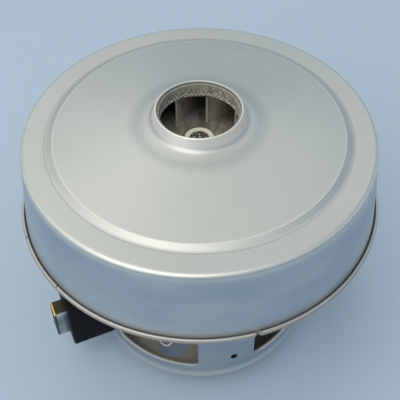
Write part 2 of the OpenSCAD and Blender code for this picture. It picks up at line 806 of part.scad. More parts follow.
module impeller_nut() {
    chamfer = 1.2;
    corner_d = nut_w / cos(30);
    color([0.82, 0.79, 0.68]) difference() {
        intersection() {
            translate([0, 0, bush_z1]) cylinder(d = corner_d, h = nut_h, $fn = 6);
            rotate_extrude() polygon([[0, bush_z1], [corner_d, bush_z1], [corner_d, nut_z1 - chamfer * 2],
                                      [nut_w / 2 - chamfer / 2, nut_z1], [0, nut_z1]]);
        }
        rod(thread_d + seat * 2, bush_z1 - cut, nut_z1 + cut);
    }
}

// Shaft and bearings

module shaft() {
    lower_shoulder = lower_bearing_z + bearing_w;
    color([0.5, 0.5, 0.5]) rotate_extrude() polygon([
        [0, shaft_z0], [bearing_r - shaft_chamfer, shaft_z0], [bearing_r, shaft_z0 + shaft_chamfer],
        [bearing_r, lower_shoulder], [shaft_r, lower_shoulder], [shaft_r, upper_bearing_z],
        [bearing_r, upper_bearing_z], [bearing_r, plate_z0], [thread_r, plate_z0],
        [thread_r, shaft_z1 - shaft_chamfer], [thread_r - shaft_chamfer, shaft_z1], [0, shaft_z1]]);
}

module slinger() {
    slinger_z = lower_bearing_z + bearing_w + slinger_up;
    color([0.3, 0.2, 0.12]) ring(shaft_r + seat, slinger_r, slinger_z, slinger_z + slinger_t);
}

module wave_washer() {
    washer_r = pocket_r - (boss_bend - housing_t) - hole_fit;
    color([0.55, 0.55, 0.55]) ring(washer_r - washer_w, washer_r, housing_t, lower_bearing_z);
}

module bearing_outer_ring(z) {
    seat_r = outer_race_r + shield_lap;
    color([0.75, 0.75, 0.76]) translate([0, 0, z]) rotate_extrude() difference() {
        translate([outer_race_r, 0]) square([bearing_od / 2 - outer_race_r, bearing_w]);
        translate([ball_ring, bearing_w / 2]) circle(r = groove_r);
        for (y = [-cut, bearing_w - shield_in - shield_t])
            translate([0, y]) square([seat_r, cut + shield_in + shield_t]);
    }
}

module bearing_inner_ring(z) {
    color([0.75, 0.75, 0.76]) translate([0, 0, z]) rotate_extrude() difference() {
        translate([bearing_r + seat, 0]) square([inner_race_r - bearing_r - seat, bearing_w]);
        translate([ball_ring, bearing_w / 2]) circle(r = groove_r);
    }
}

module bearing_balls(z, r) {
    for (k = [0:ball_count - 1]) rotate([0, 0, 360 * k / ball_count])
        translate([ball_ring, 0, z + bearing_w / 2]) sphere(r = r);
}

module bearing_cage(z) {
    half = ball_r + cage_wall;
    color([0.62, 0.5, 0.3]) difference() {
        translate([0, 0, z + bearing_w / 2]) ring(ball_ring - cage_t / 2, ball_ring + cage_t / 2, -half, half);
        bearing_balls(z, ball_r + slide_fit);
    }
}

module bearing_shields(z) {
    shield_r0 = inner_race_r + run_gap;
    shield_r1 = outer_race_r + shield_lap - seat;
    color([0.66, 0.66, 0.67]) for (y = [shield_in, bearing_w - shield_in - shield_t])
        ring(shield_r0, shield_r1, z + y, z + y + shield_t);
}

module upper_bearing_outer_ring() { bearing_outer_ring(upper_bearing_z); }
module upper_bearing_inner_ring() { bearing_inner_ring(upper_bearing_z); }
module upper_bearing_balls() { color([0.8, 0.8, 0.8]) bearing_balls(upper_bearing_z, ball_r); }
module upper_bearing_cage() { bearing_cage(upper_bearing_z); }
module upper_bearing_shields() { bearing_shields(upper_bearing_z); }
module lower_bearing_outer_ring() { bearing_outer_ring(lower_bearing_z); }
module lower_bearing_inner_ring() { bearing_inner_ring(lower_bearing_z); }
module lower_bearing_balls() { color([0.8, 0.8, 0.8]) bearing_balls(lower_bearing_z, ball_r); }
module lower_bearing_cage() { bearing_cage(lower_bearing_z); }
module lower_bearing_shields() { bearing_shields(lower_bearing_z); }

// Rotor

// A rotor slot, from its bottom to a given depth under the tooth tips, drawn in by a margin
module slot_shape(margin, depth) {
    top = slot_r1 - depth;
    lean = (slot_half1 - slot_half0) / (slot_r1 - slot_r0);
    half0 = slot_half0 - margin + lean * margin;
    half1 = slot_half1 - margin - lean * depth;
    polygon([[slot_r0 + margin, -half0], [top, -half1], [top, half1], [slot_r0 + margin, half0]]);
}

module at_slots() { for (k = [0:slot_count - 1]) rotate([0, 0, 360 * (k + 0.5) / slot_count]) children(); }

module lamination() {
    difference() {
        circle(r = rotor_r);
        circle(r = shaft_r + seat);
        at_slots() slot_shape(0, 0);
        at_slots() translate([slot_r1 - slot_mouth, -slot_mouth])
            square([tip_t + slot_mouth + cut, slot_mouth * 2]);
    }
}

module rotor_core() {
    color([0.33, 0.32, 0.31]) translate([0, 0, stack_z0 + end_plate_t])
        linear_extrude(stack_h - end_plate_t * 2) lamination();
}

module rotor_end_plates() {
    color([0.75, 0.72, 0.6]) for (z = [stack_z0, stack_z1 - end_plate_t])
        translate([0, 0, z]) linear_extrude(end_plate_t) lamination();
}

module rotor_winding() {
    slot_top = slot_r1 - wedge_t - liner_t * 2;
    color([0.62, 0.3, 0.14]) {
        at_slots() translate([0, 0, stack_z0 - cut]) linear_extrude(stack_h + cut * 2)
            slot_shape(liner_t, wedge_t + liner_t * 2);
        end_turns(slot_top);
        translate([0, 0, stack_z0 + stack_z1]) mirror([0, 0, 1]) end_turns(slot_top);
    }
}

// The lower end turns, a ring whose outer side slopes in
module end_turns(r1) {
    z0 = stack_z0 - winding_h;
    rotate_extrude() polygon([[winding_in, z0 + winding_slope / 2], [winding_in + winding_slope, z0],
                              [r1 - winding_slope * 2, z0], [r1 - winding_slope / 2, z0 + winding_slope],
                              [r1, stack_z0], [winding_in, stack_z0]]);
}

module slot_wedges() {
    top = slot_r1 - liner_t / 2;
    half = slot_half1 - liner_t * 2;
    color([0.8, 0.76, 0.6]) at_slots() translate([top - wedge_t, -half, stack_z0])
        cube([wedge_t, half * 2, stack_h]);
}

module commutator_hub() {
    color([0.2, 0.12, 0.08]) ring(shaft_r + seat, comm_r - bar_t - seat, comm_z0, comm_z1);
}

module commutator_bars() {
    color([0.72, 0.43, 0.25]) difference() {
        union() {
            ring(comm_r - bar_t, comm_r, comm_z0, comm_z1);
            ring(comm_r - cut, comm_r + riser_out, comm_z1 - riser_h, comm_z1);
        }
        for (k = [0:bar_count - 1]) rotate([0, 0, 360 * k / bar_count])
            bar_x(comm_r - bar_t - cut, comm_r + riser_out + cut, bar_gap, comm_z0 - cut, comm_z1 + cut);
    }
}

// Stator

module stator_core() {
    color([0.36, 0.36, 0.37]) difference() {
        intersection() {
            rod(stator_r * 2, stack_z0, stack_z1);
            translate([0, 0, (stack_z0 + stack_z1) / 2])
                cube([stator_r * 2 + cut, stator_flat * 2, stack_h + cut], center = true);
        }
        rod(bore_r * 2, stack_z0 - cut, stack_z1 + cut);
        pair() arc_ring(pocket_r0, pocket_r1, stack_z0 - cut, stack_z1 + cut, -pocket_deg, pocket_deg);
        pair() bar_x(bore_r - cut, pocket_r0 + cut, tip_gap, stack_z0 - cut, stack_z1 + cut);
        diagonals() translate([stator_screw_ring, 0, 0])
            rod(stator_screw_hole, stack_z0 - cut, stack_z1 + cut);
    }
}

// A field coil round the pole on +Y: end turns above and below the core, and a leg in each pocket
module field_coil() {
    color([0.6, 0.28, 0.12]) difference() {
        arc_ring(coil_r0, coil_r1, coil_z0, coil_z1, coil_deg, 180 - coil_deg);
        arc_ring(coil_r0 - cut, coil_r1 + cut, coil_z0 + coil_h, coil_z1 - coil_h, leg_deg, 180 - leg_deg);
    }
}

module field_coil_rear() { field_coil(); }
module field_coil_front() { turned() field_coil(); }

module field_insulators() {
    r0 = pocket_r0 - insulator_lap;
    r1 = pocket_r1 + insulator_lap;
    color([0.85, 0.82, 0.7]) pair() {
        arc_ring(r0, r1, stack_z1, stack_z1 + insulator_t, pocket_deg, 180 - pocket_deg);
        arc_ring(r0, r1, stack_z0 - insulator_t, stack_z0, pocket_deg, 180 - pocket_deg);
        arc_ring(pocket_r1, tab_r + tab_t * 2, stack_z0 - insulator_t, stack_z0, ear_from_deg, ear_to_deg);
    }
}

module stator_screws() {
    color([0.62, 0.62, 0.64]) diagonals() translate([stator_screw_ring, 0, 0]) {
        rod(stator_head_d, stack_z1, stack_z1 + stator_head_h);
        rod(stator_screw_d, stack_z0 - lug_t * 1.5, stack_z1 + stator_head_h / 2);
    }
}

module supply_tabs() {
    top = stack_z0 - insulator_t;
    color([0.8, 0.64, 0.3]) pair() rotate([0, 0, tab_deg])
        bar_x(tab_r, tab_r + tab_t, tab_w, top - tab_h, top);
}

// Brush gear, made for the brush on +X

module block_screw_places() {
    for (y = [-1, 1]) translate([0, y * block_screw_gap / 2, block_screw_z]) children();
}

module brush_block() {
    color([0.06, 0.06, 0.065]) difference() {
        bar_x(cup_in, block_x1, block_w, block_z0, block_z1);
        rod((cup_r + slide_fit) * 2, block_z0 - cut, block_z1 + cut);
        bar_x(cup_in - cut, block_x1 + cut, tube_w + seat * 2, brush_z - tube_h / 2 - seat,
              brush_z + tube_h / 2 + seat);
        block_screw_places() drill_x(block_screw_hole, cup_in - cut, block_x1 + cut);
        block_screw_places() drill_x(block_head_d + hole_fit * 2, block_head_x, block_x1 + cut);
    }
}

module brush_tube() {
    inner_w = brush_w + slide_fit * 2;
    inner_h = brush_h + slide_fit * 2;
    color([0.72, 0.62, 0.36]) difference() {
        bar_x(tube_x0, tube_x1, tube_w, brush_z - tube_h / 2, brush_z + tube_h / 2);
        bar_x(tube_x0 - cut, tube_x1 + cut, inner_w, brush_z - inner_h / 2, brush_z + inner_h / 2);
    }
}

module brush_cap() {
    color([0.82, 0.66, 0.25]) {
        bar_x(tube_x1, tube_x1 + cap_t, tube_w, brush_z - tube_h / 2, brush_z + tube_h / 2);
        bar_x(tube_x1 - plug_l, tube_x1 + cap_t / 2, brush_w, brush_z - brush_h / 2, brush_z + brush_h / 2);
    }
}

module block_screws() {
    color([0.62, 0.62, 0.64]) pair() block_screw_places() {
        drill_x(block_head_d, block_head_x, block_head_x + block_head_h);
        drill_x(block_screw_d, cup_in - cut, block_head_x + block_head_h / 2);
    }
}

module carbon_brush() {
    color([0.15, 0.15, 0.16]) difference() {
        bar_x(comm_r / 2, brush_x1, brush_w, brush_z - brush_h / 2, brush_z + brush_h / 2);
        rod(brush_x0 * 2, brush_z - brush_h, brush_z + brush_h);
    }
}

module brush_spring() {
    color([0.6, 0.6, 0.6]) tube_along(spring_points, spring_wire_r, 6);
}

module brush_shunt() {
    color([0.72, 0.4, 0.22]) translate([0, 0, brush_z]) drill_x(shunt_r * 2, spring_x0, spring_x1);
}

module field_lead() {
    color([0.9, 0.9, 0.88]) tube_along(smooth(lead_route, lead_steps), lead_r, lead_sides);
}

module brush_block_right() { brush_block(); }
module brush_block_left() { turned() brush_block(); }
module brush_tube_right() { brush_tube(); }
module brush_tube_left() { turned() brush_tube(); }
module brush_cap_right() { brush_cap(); }
module brush_cap_left() { turned() brush_cap(); }
module carbon_brush_right() { carbon_brush(); }
module carbon_brush_left() { turned() carbon_brush(); }
module brush_spring_right() { brush_spring(); }
module brush_spring_left() { turned() brush_spring(); }
module brush_shunt_right() { brush_shunt(); }
module brush_shunt_left() { turned() brush_shunt(); }
module field_lead_left() { field_lead(); }
module field_lead_right() { turned() field_lead(); }

housing_tray();
cup_wall();
cup_posts();
cup_sill();
cup_floor();
bearing_cup();
fan_cover();
inlet_lining();
diffuser();
diffuser_screws();
upper_bracket();
bracket_screws();
bracket_nuts();
impeller_back_plate();
impeller_blades();
impeller_front_plate();
impeller_spacer();
hub_bush();
impeller_nut();
shaft();
slinger();
wave_washer();
upper_bearing_outer_ring();
upper_bearing_inner_ring();
upper_bearing_balls();
upper_bearing_cage();
upper_bearing_shields();
lower_bearing_outer_ring();
lower_bearing_inner_ring();
lower_bearing_balls();
lower_bearing_cage();
lower_bearing_shields();
rotor_core();
rotor_end_plates();
rotor_winding();
slot_wedges();
commutator_hub();
commutator_bars();
stator_core();
field_coil_front();
field_coil_rear();
field_insulators();
stator_screws();
supply_tabs();
brush_block_left();
brush_block_right();
brush_tube_left();
brush_tube_right();
brush_cap_left();
brush_cap_right();
block_screws();
carbon_brush_left();
carbon_brush_right();
brush_spring_left();
brush_spring_right();
brush_shunt_left();
brush_shunt_right();
field_lead_left();
field_lead_right();
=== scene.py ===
"""A vacuum cleaner's motor with its fan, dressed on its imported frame.

Sizes are millimetres in the part's own frame: the shaft is the Z axis, the brushes lie on X and a plain post
of the cup is near -Y. Shapes are grids of points worked out with numpy, and reach Blender in metres.
"""

import json
import math

import bmesh
import bpy
import numpy as np
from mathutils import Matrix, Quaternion, Vector


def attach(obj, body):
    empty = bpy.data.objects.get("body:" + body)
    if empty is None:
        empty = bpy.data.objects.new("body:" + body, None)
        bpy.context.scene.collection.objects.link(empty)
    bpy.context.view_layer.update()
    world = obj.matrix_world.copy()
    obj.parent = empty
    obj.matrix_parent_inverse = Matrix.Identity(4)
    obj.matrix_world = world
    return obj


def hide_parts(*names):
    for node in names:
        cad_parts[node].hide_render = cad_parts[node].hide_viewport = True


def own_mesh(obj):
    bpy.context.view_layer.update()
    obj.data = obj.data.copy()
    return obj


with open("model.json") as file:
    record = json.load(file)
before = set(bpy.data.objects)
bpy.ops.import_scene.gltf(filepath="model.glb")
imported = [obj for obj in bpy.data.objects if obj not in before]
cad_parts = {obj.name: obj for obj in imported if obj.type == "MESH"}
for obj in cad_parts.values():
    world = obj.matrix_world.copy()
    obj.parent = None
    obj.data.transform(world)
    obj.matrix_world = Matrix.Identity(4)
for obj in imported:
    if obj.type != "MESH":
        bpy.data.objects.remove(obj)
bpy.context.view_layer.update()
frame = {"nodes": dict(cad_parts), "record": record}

MM = 0.001
TURN = 2 * np.pi
chance = np.random.default_rng(7)

# Sizes of the sheet metal
RIM_R, CUP_R, CUP_IN, BOSS_R = 67.5, 43.5, 42.3, 12.22
HOUSING_T, COVER_T = 1.2, 1.0
FLOOR_Z, TRAY_Z, TRAY_TOP, LIP_TOP = 7.0, 71.3, 72.5, 73.8
SILL_Z, WINDOW_TOP = 16.6, 34.0
HOUSING_PATH = [[0, 0], [BOSS_R, 0], [BOSS_R, FLOOR_Z], [CUP_R, FLOOR_Z], [CUP_R, TRAY_Z],
                [RIM_R + 0.15, TRAY_Z], [RIM_R - 0.2, LIP_TOP - 0.7]]
HOUSING_BENDS = [1.8, 1.8, 2.5, 1.8, 1.3]
THROUGH_WALL, THROUGH_TRAY = (CUP_IN - 1, CUP_R + 1), (TRAY_Z - 1, TRAY_TOP + 1)
TRAY_SCREW_R = 50.0
COVER_PATH = [[65.7, 72.5], [65.7, 73.5], [63.1, 102.7], [54.2, 102.7], [51.8, 103.9], [21.65, 108.1],
              [16.85, 109.1], [15.6, 113.2]]
COVER_BENDS = [4.0, 1.6, 3.0, 1.0, 12.0, 2.4]

# Angles in degrees. Those of the windows and of the plain posts count from -Y towards +X, the others from +X
WINDOWS = ((5.6, 73.0), (185.6, 253.0), (107.0, 155.6), (287.0, 335.6))
PLAIN_POSTS = (-5.7, 174.3)
CORNERS = (45, 135, 225, 315)
SIDES = (("right", 0), ("left", 180))

# Sizes of the brush gear, of the brush on +X. TUBE_Y and TUBE_Z are half the tube's width and height, and
# POINT is a rectangle so small that it closes an end
BRUSH_Z, TUBE_X0, TUBE_X1, TUBE_Y, TUBE_Z = 22.5, 14.0, 63.9, 3.5, 7.3
CAP_X0, CAP_X1 = 62.5, 64.7
BLOCK_X1, BLOCK_Y, BLOCK_Z0, BLOCK_Z1 = 59.7, 9.0, 12.8, 38.4
SCREW_X, SCREW_YS, SCREW_Z = 55.9, (-5.5, 5.5), 34.5
SPRING_X0, SPRING_X1, SPRING_R, SPRING_WIRE, SPRING_TURNS = 38.8, 62.5, 2.1, 0.32, 9
POINT = (0.01, 0.01, 0.005)

# Sizes of the windings
STACK_Z0, STACK_Z1 = 38.0, 62.0
COIL_Z0, COIL_Z1, COIL_R0 = 32.0, 68.0, 27.6
LEAD_R = 0.5
LEAD_ROUTE = [[-20.5, -23, 32], [-20.5, -23.4, 29], [-21.2, -24.4, 22.2], [-23, -25, 16.7], [-25, -24.2, 13],
              [-26.6, -21.5, 12], [-27.6, -17.5, 13.2], [-28, -13, 17], [-28, -9, 19.8], [-28, -6, 21.1],
              [-28, -3.5, 21.3]]


# Shader maths

class Reading:
    """A value read over a surface. Arithmetic on readings adds Math nodes."""

    def __init__(self, nodes, socket):
        self.nodes, self.socket = nodes, socket

    def sum(self, operation, first, second):
        return self.nodes.node("ShaderNodeMath", {0: first, 1: second}, operation=operation)

    def __add__(self, other): return self.sum("ADD", self, other)
    def __radd__(self, other): return self.sum("ADD", other, self)
    def __sub__(self, other): return self.sum("SUBTRACT", self, other)
    def __rsub__(self, other): return self.sum("SUBTRACT", other, self)
    def __mul__(self, other): return self.sum("MULTIPLY", self, other)
    def __rmul__(self, other): return self.sum("MULTIPLY", other, self)
    def __truediv__(self, other): return self.sum("DIVIDE", self, other)
    def __rtruediv__(self, other): return self.sum("DIVIDE", other, self)
    def __pow__(self, other): return self.sum("POWER", self, other)
    def __abs__(self): return self.nodes.node("ShaderNodeMath", {0: self}, operation="ABSOLUTE")


class Nodes:
    """A node tree in the making."""

    def __init__(self, tree):
        self.tree = tree

    def feed(self, socket, value):
        """Links a reading to a socket, or sets the socket to a number or a tone."""
        if isinstance(value, Reading):
            self.tree.links.new(value.socket, socket)
        else:
            socket.default_value = (*value, 1.0) if socket.type == "RGBA" and len(value) == 3 else value

    def node(self, kind, inputs=None, out=0, stops=(), **settings):
        """A reading of one output of a new node with these inputs and settings."""
        made = self.tree.nodes.new(kind)
        for setting, value in settings.items():
            setattr(made, setting, value)
        for position, _ in stops[2:]:
            made.color_ramp.elements.new(position)
        for element, (position, colour) in zip(made.color_ramp.elements if stops else (), stops):
            element.position, element.color = position, (*colour, 1.0)
        for socket, value in (inputs or {}).items():
            self.feed(made.inputs[socket], value)
        return Reading(self, made.outputs[out])

    def mix(self, share, first, second):
        """The first tone with a share of the second over it."""
        return self.node("ShaderNodeMix", {0: share, 6: first, 7: second}, out=2, data_type="RGBA")

    def layers(self, tone, *coats):
        """A tone under coats, each with its share and its own tone."""
        for share, coat in coats:
            tone = self.mix(share, tone, coat)
        return tone


class Finish(Nodes):
    """A material in the making, with the readings that most finishes use."""

    def __init__(self, name):
        self.material = bpy.data.materials.new(name)
        self.material.use_nodes = True
        super().__init__(self.material.node_tree)
        self.shader = self.tree.nodes["Principled BSDF"]
        self.spot = self.node("ShaderNodeTexCoord", out="Object")
        self.x, self.y, self.z = (self.node("ShaderNodeSeparateXYZ", {0: self.spot}, out=i) for i in range(3))
        self.r = (self.x * self.x + self.y * self.y) ** 0.5

    def noise(self, scale, detail=2.0, vector=None, rough=0.5):
        """Clouds of 0 to 1, scale of them to a metre."""
        return self.node("ShaderNodeTexNoise", {"Vector": vector or self.spot, "Scale": scale,
                                                "Detail": detail, "Roughness": rough})

    def lines(self, scale):
        """Fine lines round the axis, scale of them to a metre."""
        return self.noise(1.0, 2, self.vector(self.r * scale, self.z * scale, 0.0))

    def fleck(self, scale):
        """The distance from scattered points: 0 in the middle of a fleck."""
        return self.node("ShaderNodeTexVoronoi", {"Vector": self.spot, "Scale": scale})

    def vector(self, x, y, z):
        return self.node("ShaderNodeCombineXYZ", {0: x, 1: y, 2: z})

    def rise(self, value, low, high):
        """A smooth step from 0 at low to 1 at high."""
        return self.node("ShaderNodeMapRange", {"Value": value, "From Min": low, "From Max": high},
                         interpolation_type="SMOOTHSTEP")

    def past(self, place, low, high):
        """A rise from a low place to a high one, in millimetres."""
        return self.rise(place, low * MM, high * MM)

    def band(self, place, middle, half):
        """1 in the middle of a band, falling smoothly to 0 half a width away, in millimetres."""
        return self.past(abs(place - middle * MM), half, 0.0)

    def relief(self, height, depth, strength=1.0):
        """A surface normal from a height of 0 to 1, over a depth in millimetres."""
        return self.node("ShaderNodeBump", {"Strength": strength, "Distance": depth * MM, "Height": height})

    def shade(self, colour, roughness, metallic=0.0, normal=None, **constants):
        for socket, value in (("Base Color", colour), ("Roughness", roughness), ("Metallic", metallic)):
            self.feed(self.shader.inputs[socket], value)
        if normal:
            self.feed(self.shader.inputs["Normal"], normal)
        for socket, value in constants.items():
            self.shader.inputs[socket].default_value = value
        return self.material


# Shapes: points of a grid and the faces between them

def unit(v):
    """Vectors of length 1 along the last axis: v / |v|."""
    return v / np.linalg.norm(v, axis=-1, keepdims=True)


def polar(r, a, *more):
    """Points (r cos a, r sin a), with more coordinates behind."""
    return np.stack(np.broadcast_arrays(r * np.cos(a), r * np.sin(a), *more), -1)


def skin(grid, wrap_rows=False):
    """Points of one grid or of a stack of grids, and the quads between their rows and round each row."""
    stack = grid.reshape(-1, *grid.shape[-3:])
    count, rows, cols = stack.shape[:3]
    n, i, j = np.meshgrid(np.arange(count), np.arange(rows - (not wrap_rows)), np.arange(cols), indexing="ij")

    def at(row, col):
        return (n * rows + row % rows) * cols + col % cols

    faces = np.stack([at(i, j), at(i, j + 1), at(i + 1, j + 1), at(i + 1, j)], -1).reshape(-1, 4)
    return stack.reshape(-1, 3), faces


def together(shapes):
    """Many shapes as one: their points in a row, and their faces counted on."""
    starts = np.cumsum([0] + [len(points) for points, _ in shapes])
    return (np.concatenate([points for points, _ in shapes]),
            np.concatenate([faces + start for (_, faces), start in zip(shapes, starts)]))


def turned(shape, degrees):
    """The shape turned about Z: (x cos a - y sin a, x sin a + y cos a, z)."""
    a = math.radians(degrees)
    spin = np.array([[math.cos(a), math.sin(a), 0], [-math.sin(a), math.cos(a), 0], [0, 0, 1]])
    return shape[0] @ spin, shape[1]


def laid_along_x(shape, start):
    """An upright shape laid along +X from a start point: z becomes x, x becomes y and y becomes z."""
    return shape[0][:, [2, 0, 1]] + np.asarray(start, float), shape[1]


def moved(shape, by):
    """The shape with a vector added to every point."""
    return shape[0] + np.asarray(by, float), shape[1]


def bent(corners, radii, steps=12):
    """A path whose inner corners are arcs. An arc's centre lies on the corner's bisector, r / sin(half the
    corner's angle) away."""
    corners = np.asarray(corners, float)
    points = [corners[:1]]
    for before, corner, after, r in zip(corners, corners[1:], corners[2:], radii):
        u, w = unit(before - corner), unit(after - corner)
        half = math.acos(u @ w) / 2
        centre = corner + unit(u + w) * r / math.sin(half)
        first, last = (corner + d * r / math.tan(half) - centre for d in (u, w))
        a = math.atan2(first[1], first[0])
        sweep = (math.atan2(last[1], last[0]) - a + math.pi) % TURN - math.pi
        t = a + sweep * np.linspace(0, 1, steps + 1)
        points.append(centre + polar(r, t))
    return np.concatenate(points + [corners[-1:]])


def sheet_section(corners, radii, thickness, steps=12):
    """Section of a bent sheet that lies to the left of a path: the path, a half round end, and the path moved
    sideways by the thickness, with each bend tighter or wider by it."""
    corners = np.asarray(corners, float)
    run = unit(np.diff(corners, axis=0))
    left = np.stack([-run[:, 1], run[:, 0]], -1)
    before, after = np.vstack([left[:1], left]), np.vstack([left, left[-1:]])
    inner = corners + (before + after) * thickness / (1 + np.sum(before * after, -1, keepdims=True))
    turn = np.sign(np.sum(left[:-1] * run[1:], -1))
    inner_radii = np.maximum(np.asarray(radii) - turn * thickness, 0.02)
    middle, half = (corners[-1] + inner[-1]) / 2, (corners[-1] - inner[-1]) / 2
    t = np.linspace(0, np.pi, steps + 1)[1:-1, None]
    end = middle + half * np.cos(t) + run[-1] * thickness / 2 * np.sin(t)
    return np.concatenate([bent(corners, radii, steps), end, bent(inner, inner_radii, steps)[::-1]])


def guarded(points, guard=0.2, most=3.0):
    """The same path with more points on long runs: a guard's length from each end and evenly between."""
    out = []
    for a, b in zip(points, points[1:]):
        length = float(np.linalg.norm(b - a))
        inner = np.linspace(guard, length - guard, int(length / most) + 2) if length > guard * 4 else []
        out.append(a + (b - a) * np.concatenate([[0.0], inner])[:, None] / length)
    return np.concatenate(out + [points[-1:]])


def lathe(section, turns=288):
    """A section of (radius, height) turned about Z: (r cos a, r sin a, h) at each angle a."""
    a = np.linspace(0, TURN, turns, endpoint=False)
    return polar(section[:, :1], a, section[:, 1:])


def tubes(paths, reference, radius, sides=8, closed=False):
    """Round tubes along a stack of paths: about each point the circle radius (u cos b + w sin b), where u is
    the path's direction crossed with the reference and w is across both. Open ends are closed."""
    paths = paths.reshape(-1, *paths.shape[-2:])
    ahead, behind = np.roll(paths, -1, 1), np.roll(paths, 1, 1)
    if not closed:
        ahead[:, -1], behind[:, 0] = paths[:, -1], paths[:, 0]
    t = unit(ahead - behind)
    u = unit(np.cross(t, np.broadcast_to(reference, t.shape)))
    w = np.cross(t, u)
    b = np.linspace(0, TURN, sides, endpoint=False)[:, None]
    rings = paths[:, :, None] + radius * (u[:, :, None] * np.cos(b) + w[:, :, None] * np.sin(b))
    if not closed:
        first, last = (np.repeat(paths[:, i:i + 1, None], sides, 2) for i in (0, paths.shape[1] - 1))
        rings = np.concatenate([first, rings, last], 1)
    return skin(rings, wrap_rows=closed)


def eased(points, steps):
    """A smooth curve through points: cubics whose slope at a point follows its neighbours."""
    p = np.asarray(points, float)
    a, b, c, d = np.vstack([p[:1], p[:-2]]), p[:-1], p[1:], np.vstack([p[2:], p[-1:]])
    f = np.linspace(0, 1, steps, endpoint=False)[:, None, None]
    curve = b + (c - a) * f / 2 + (2 * a - 5 * b + 4 * c - d) * f**2 / 2 + (3 * b - 3 * c + d - a) * f**3 / 2
    return np.vstack([curve.transpose(1, 0, 2).reshape(-1, 3), p[-1:]])


def round_loop(half_y, half_z, corner, steps=6):
    """Points round a rectangle with round corners: four quarter circles, each moved out to its corner."""
    t = np.linspace(0, TURN / 4, steps + 1) + np.arange(4)[:, None] * TURN / 4
    out = np.array([[1, 1], [-1, 1], [-1, -1], [1, -1]])[:, None]
    return (polar(corner, t) + out * np.array([half_y - corner, half_z - corner])).reshape(-1, 2)


def loft(rows):
    """Round-cornered rectangles along X: each row gives x, the middle height, half the width, half the height
    and the corner's radius."""
    return np.stack([np.insert(round_loop(*sizes) + [0, mid], 0, x, axis=1) for x, mid, *sizes in rows])


def prism(outline, near, far):
    """A plug with an outline of (y, z) that reaches along X from near to far, closed at both ends."""
    middle = np.repeat(outline.mean(0, keepdims=True), len(outline), 0)
    loops = ((near, middle), (near, outline), (far, outline), (far, middle))
    return skin(np.stack([np.insert(loop, 0, x, axis=1) for x, loop in loops]))


def circle(r, count=48):
    """Points (r cos a, r sin a) at even angles a."""
    return polar(r, np.linspace(0, TURN, count, endpoint=False))


# Pieces

def placed(name, data):
    """An object of a mesh, a lamp or a camera, linked to the scene."""
    made = bpy.data.objects.new(name, data)
    bpy.context.scene.collection.objects.link(made)
    return made


def mesh_of(name, shape, strands=0):
    """A mesh in metres, its doubles merged and its faces turned outwards. Strands that follow each other in
    the points each have a random number."""
    points, faces = shape
    mesh = bpy.data.meshes.new(name)
    mesh.from_pydata((points * MM).tolist(), [], faces.tolist())
    if strands:
        numbers = np.repeat(chance.uniform(0, 1, strands), len(points) // strands).astype(np.float32)
        mesh.attributes.new("strand", "FLOAT", "POINT").data.foreach_set("value", numbers)
    made = bmesh.new()
    made.from_mesh(mesh)
    bmesh.ops.remove_doubles(made, verts=made.verts, dist=1e-7)
    bmesh.ops.recalc_face_normals(made, faces=made.faces)
    made.to_mesh(mesh)
    made.free()
    return mesh


def piece(name, shape, slot, nodes=(), body="housing", sharp=35.0, strands=0):
    """An object that wears the slot's finish, stands for the nodes that are named and rides on a body."""
    mesh = mesh_of(name, shape, strands) if isinstance(shape, tuple) else shape
    mesh.shade_smooth()
    mesh.set_sharp_from_angle(angle=math.radians(sharp))
    if not mesh.materials:
        mesh.materials.append(FINISHES[slot])
    made = placed(name, mesh)
    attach(made, body)
    if nodes:
        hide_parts(*nodes)
    return made


# Finishes

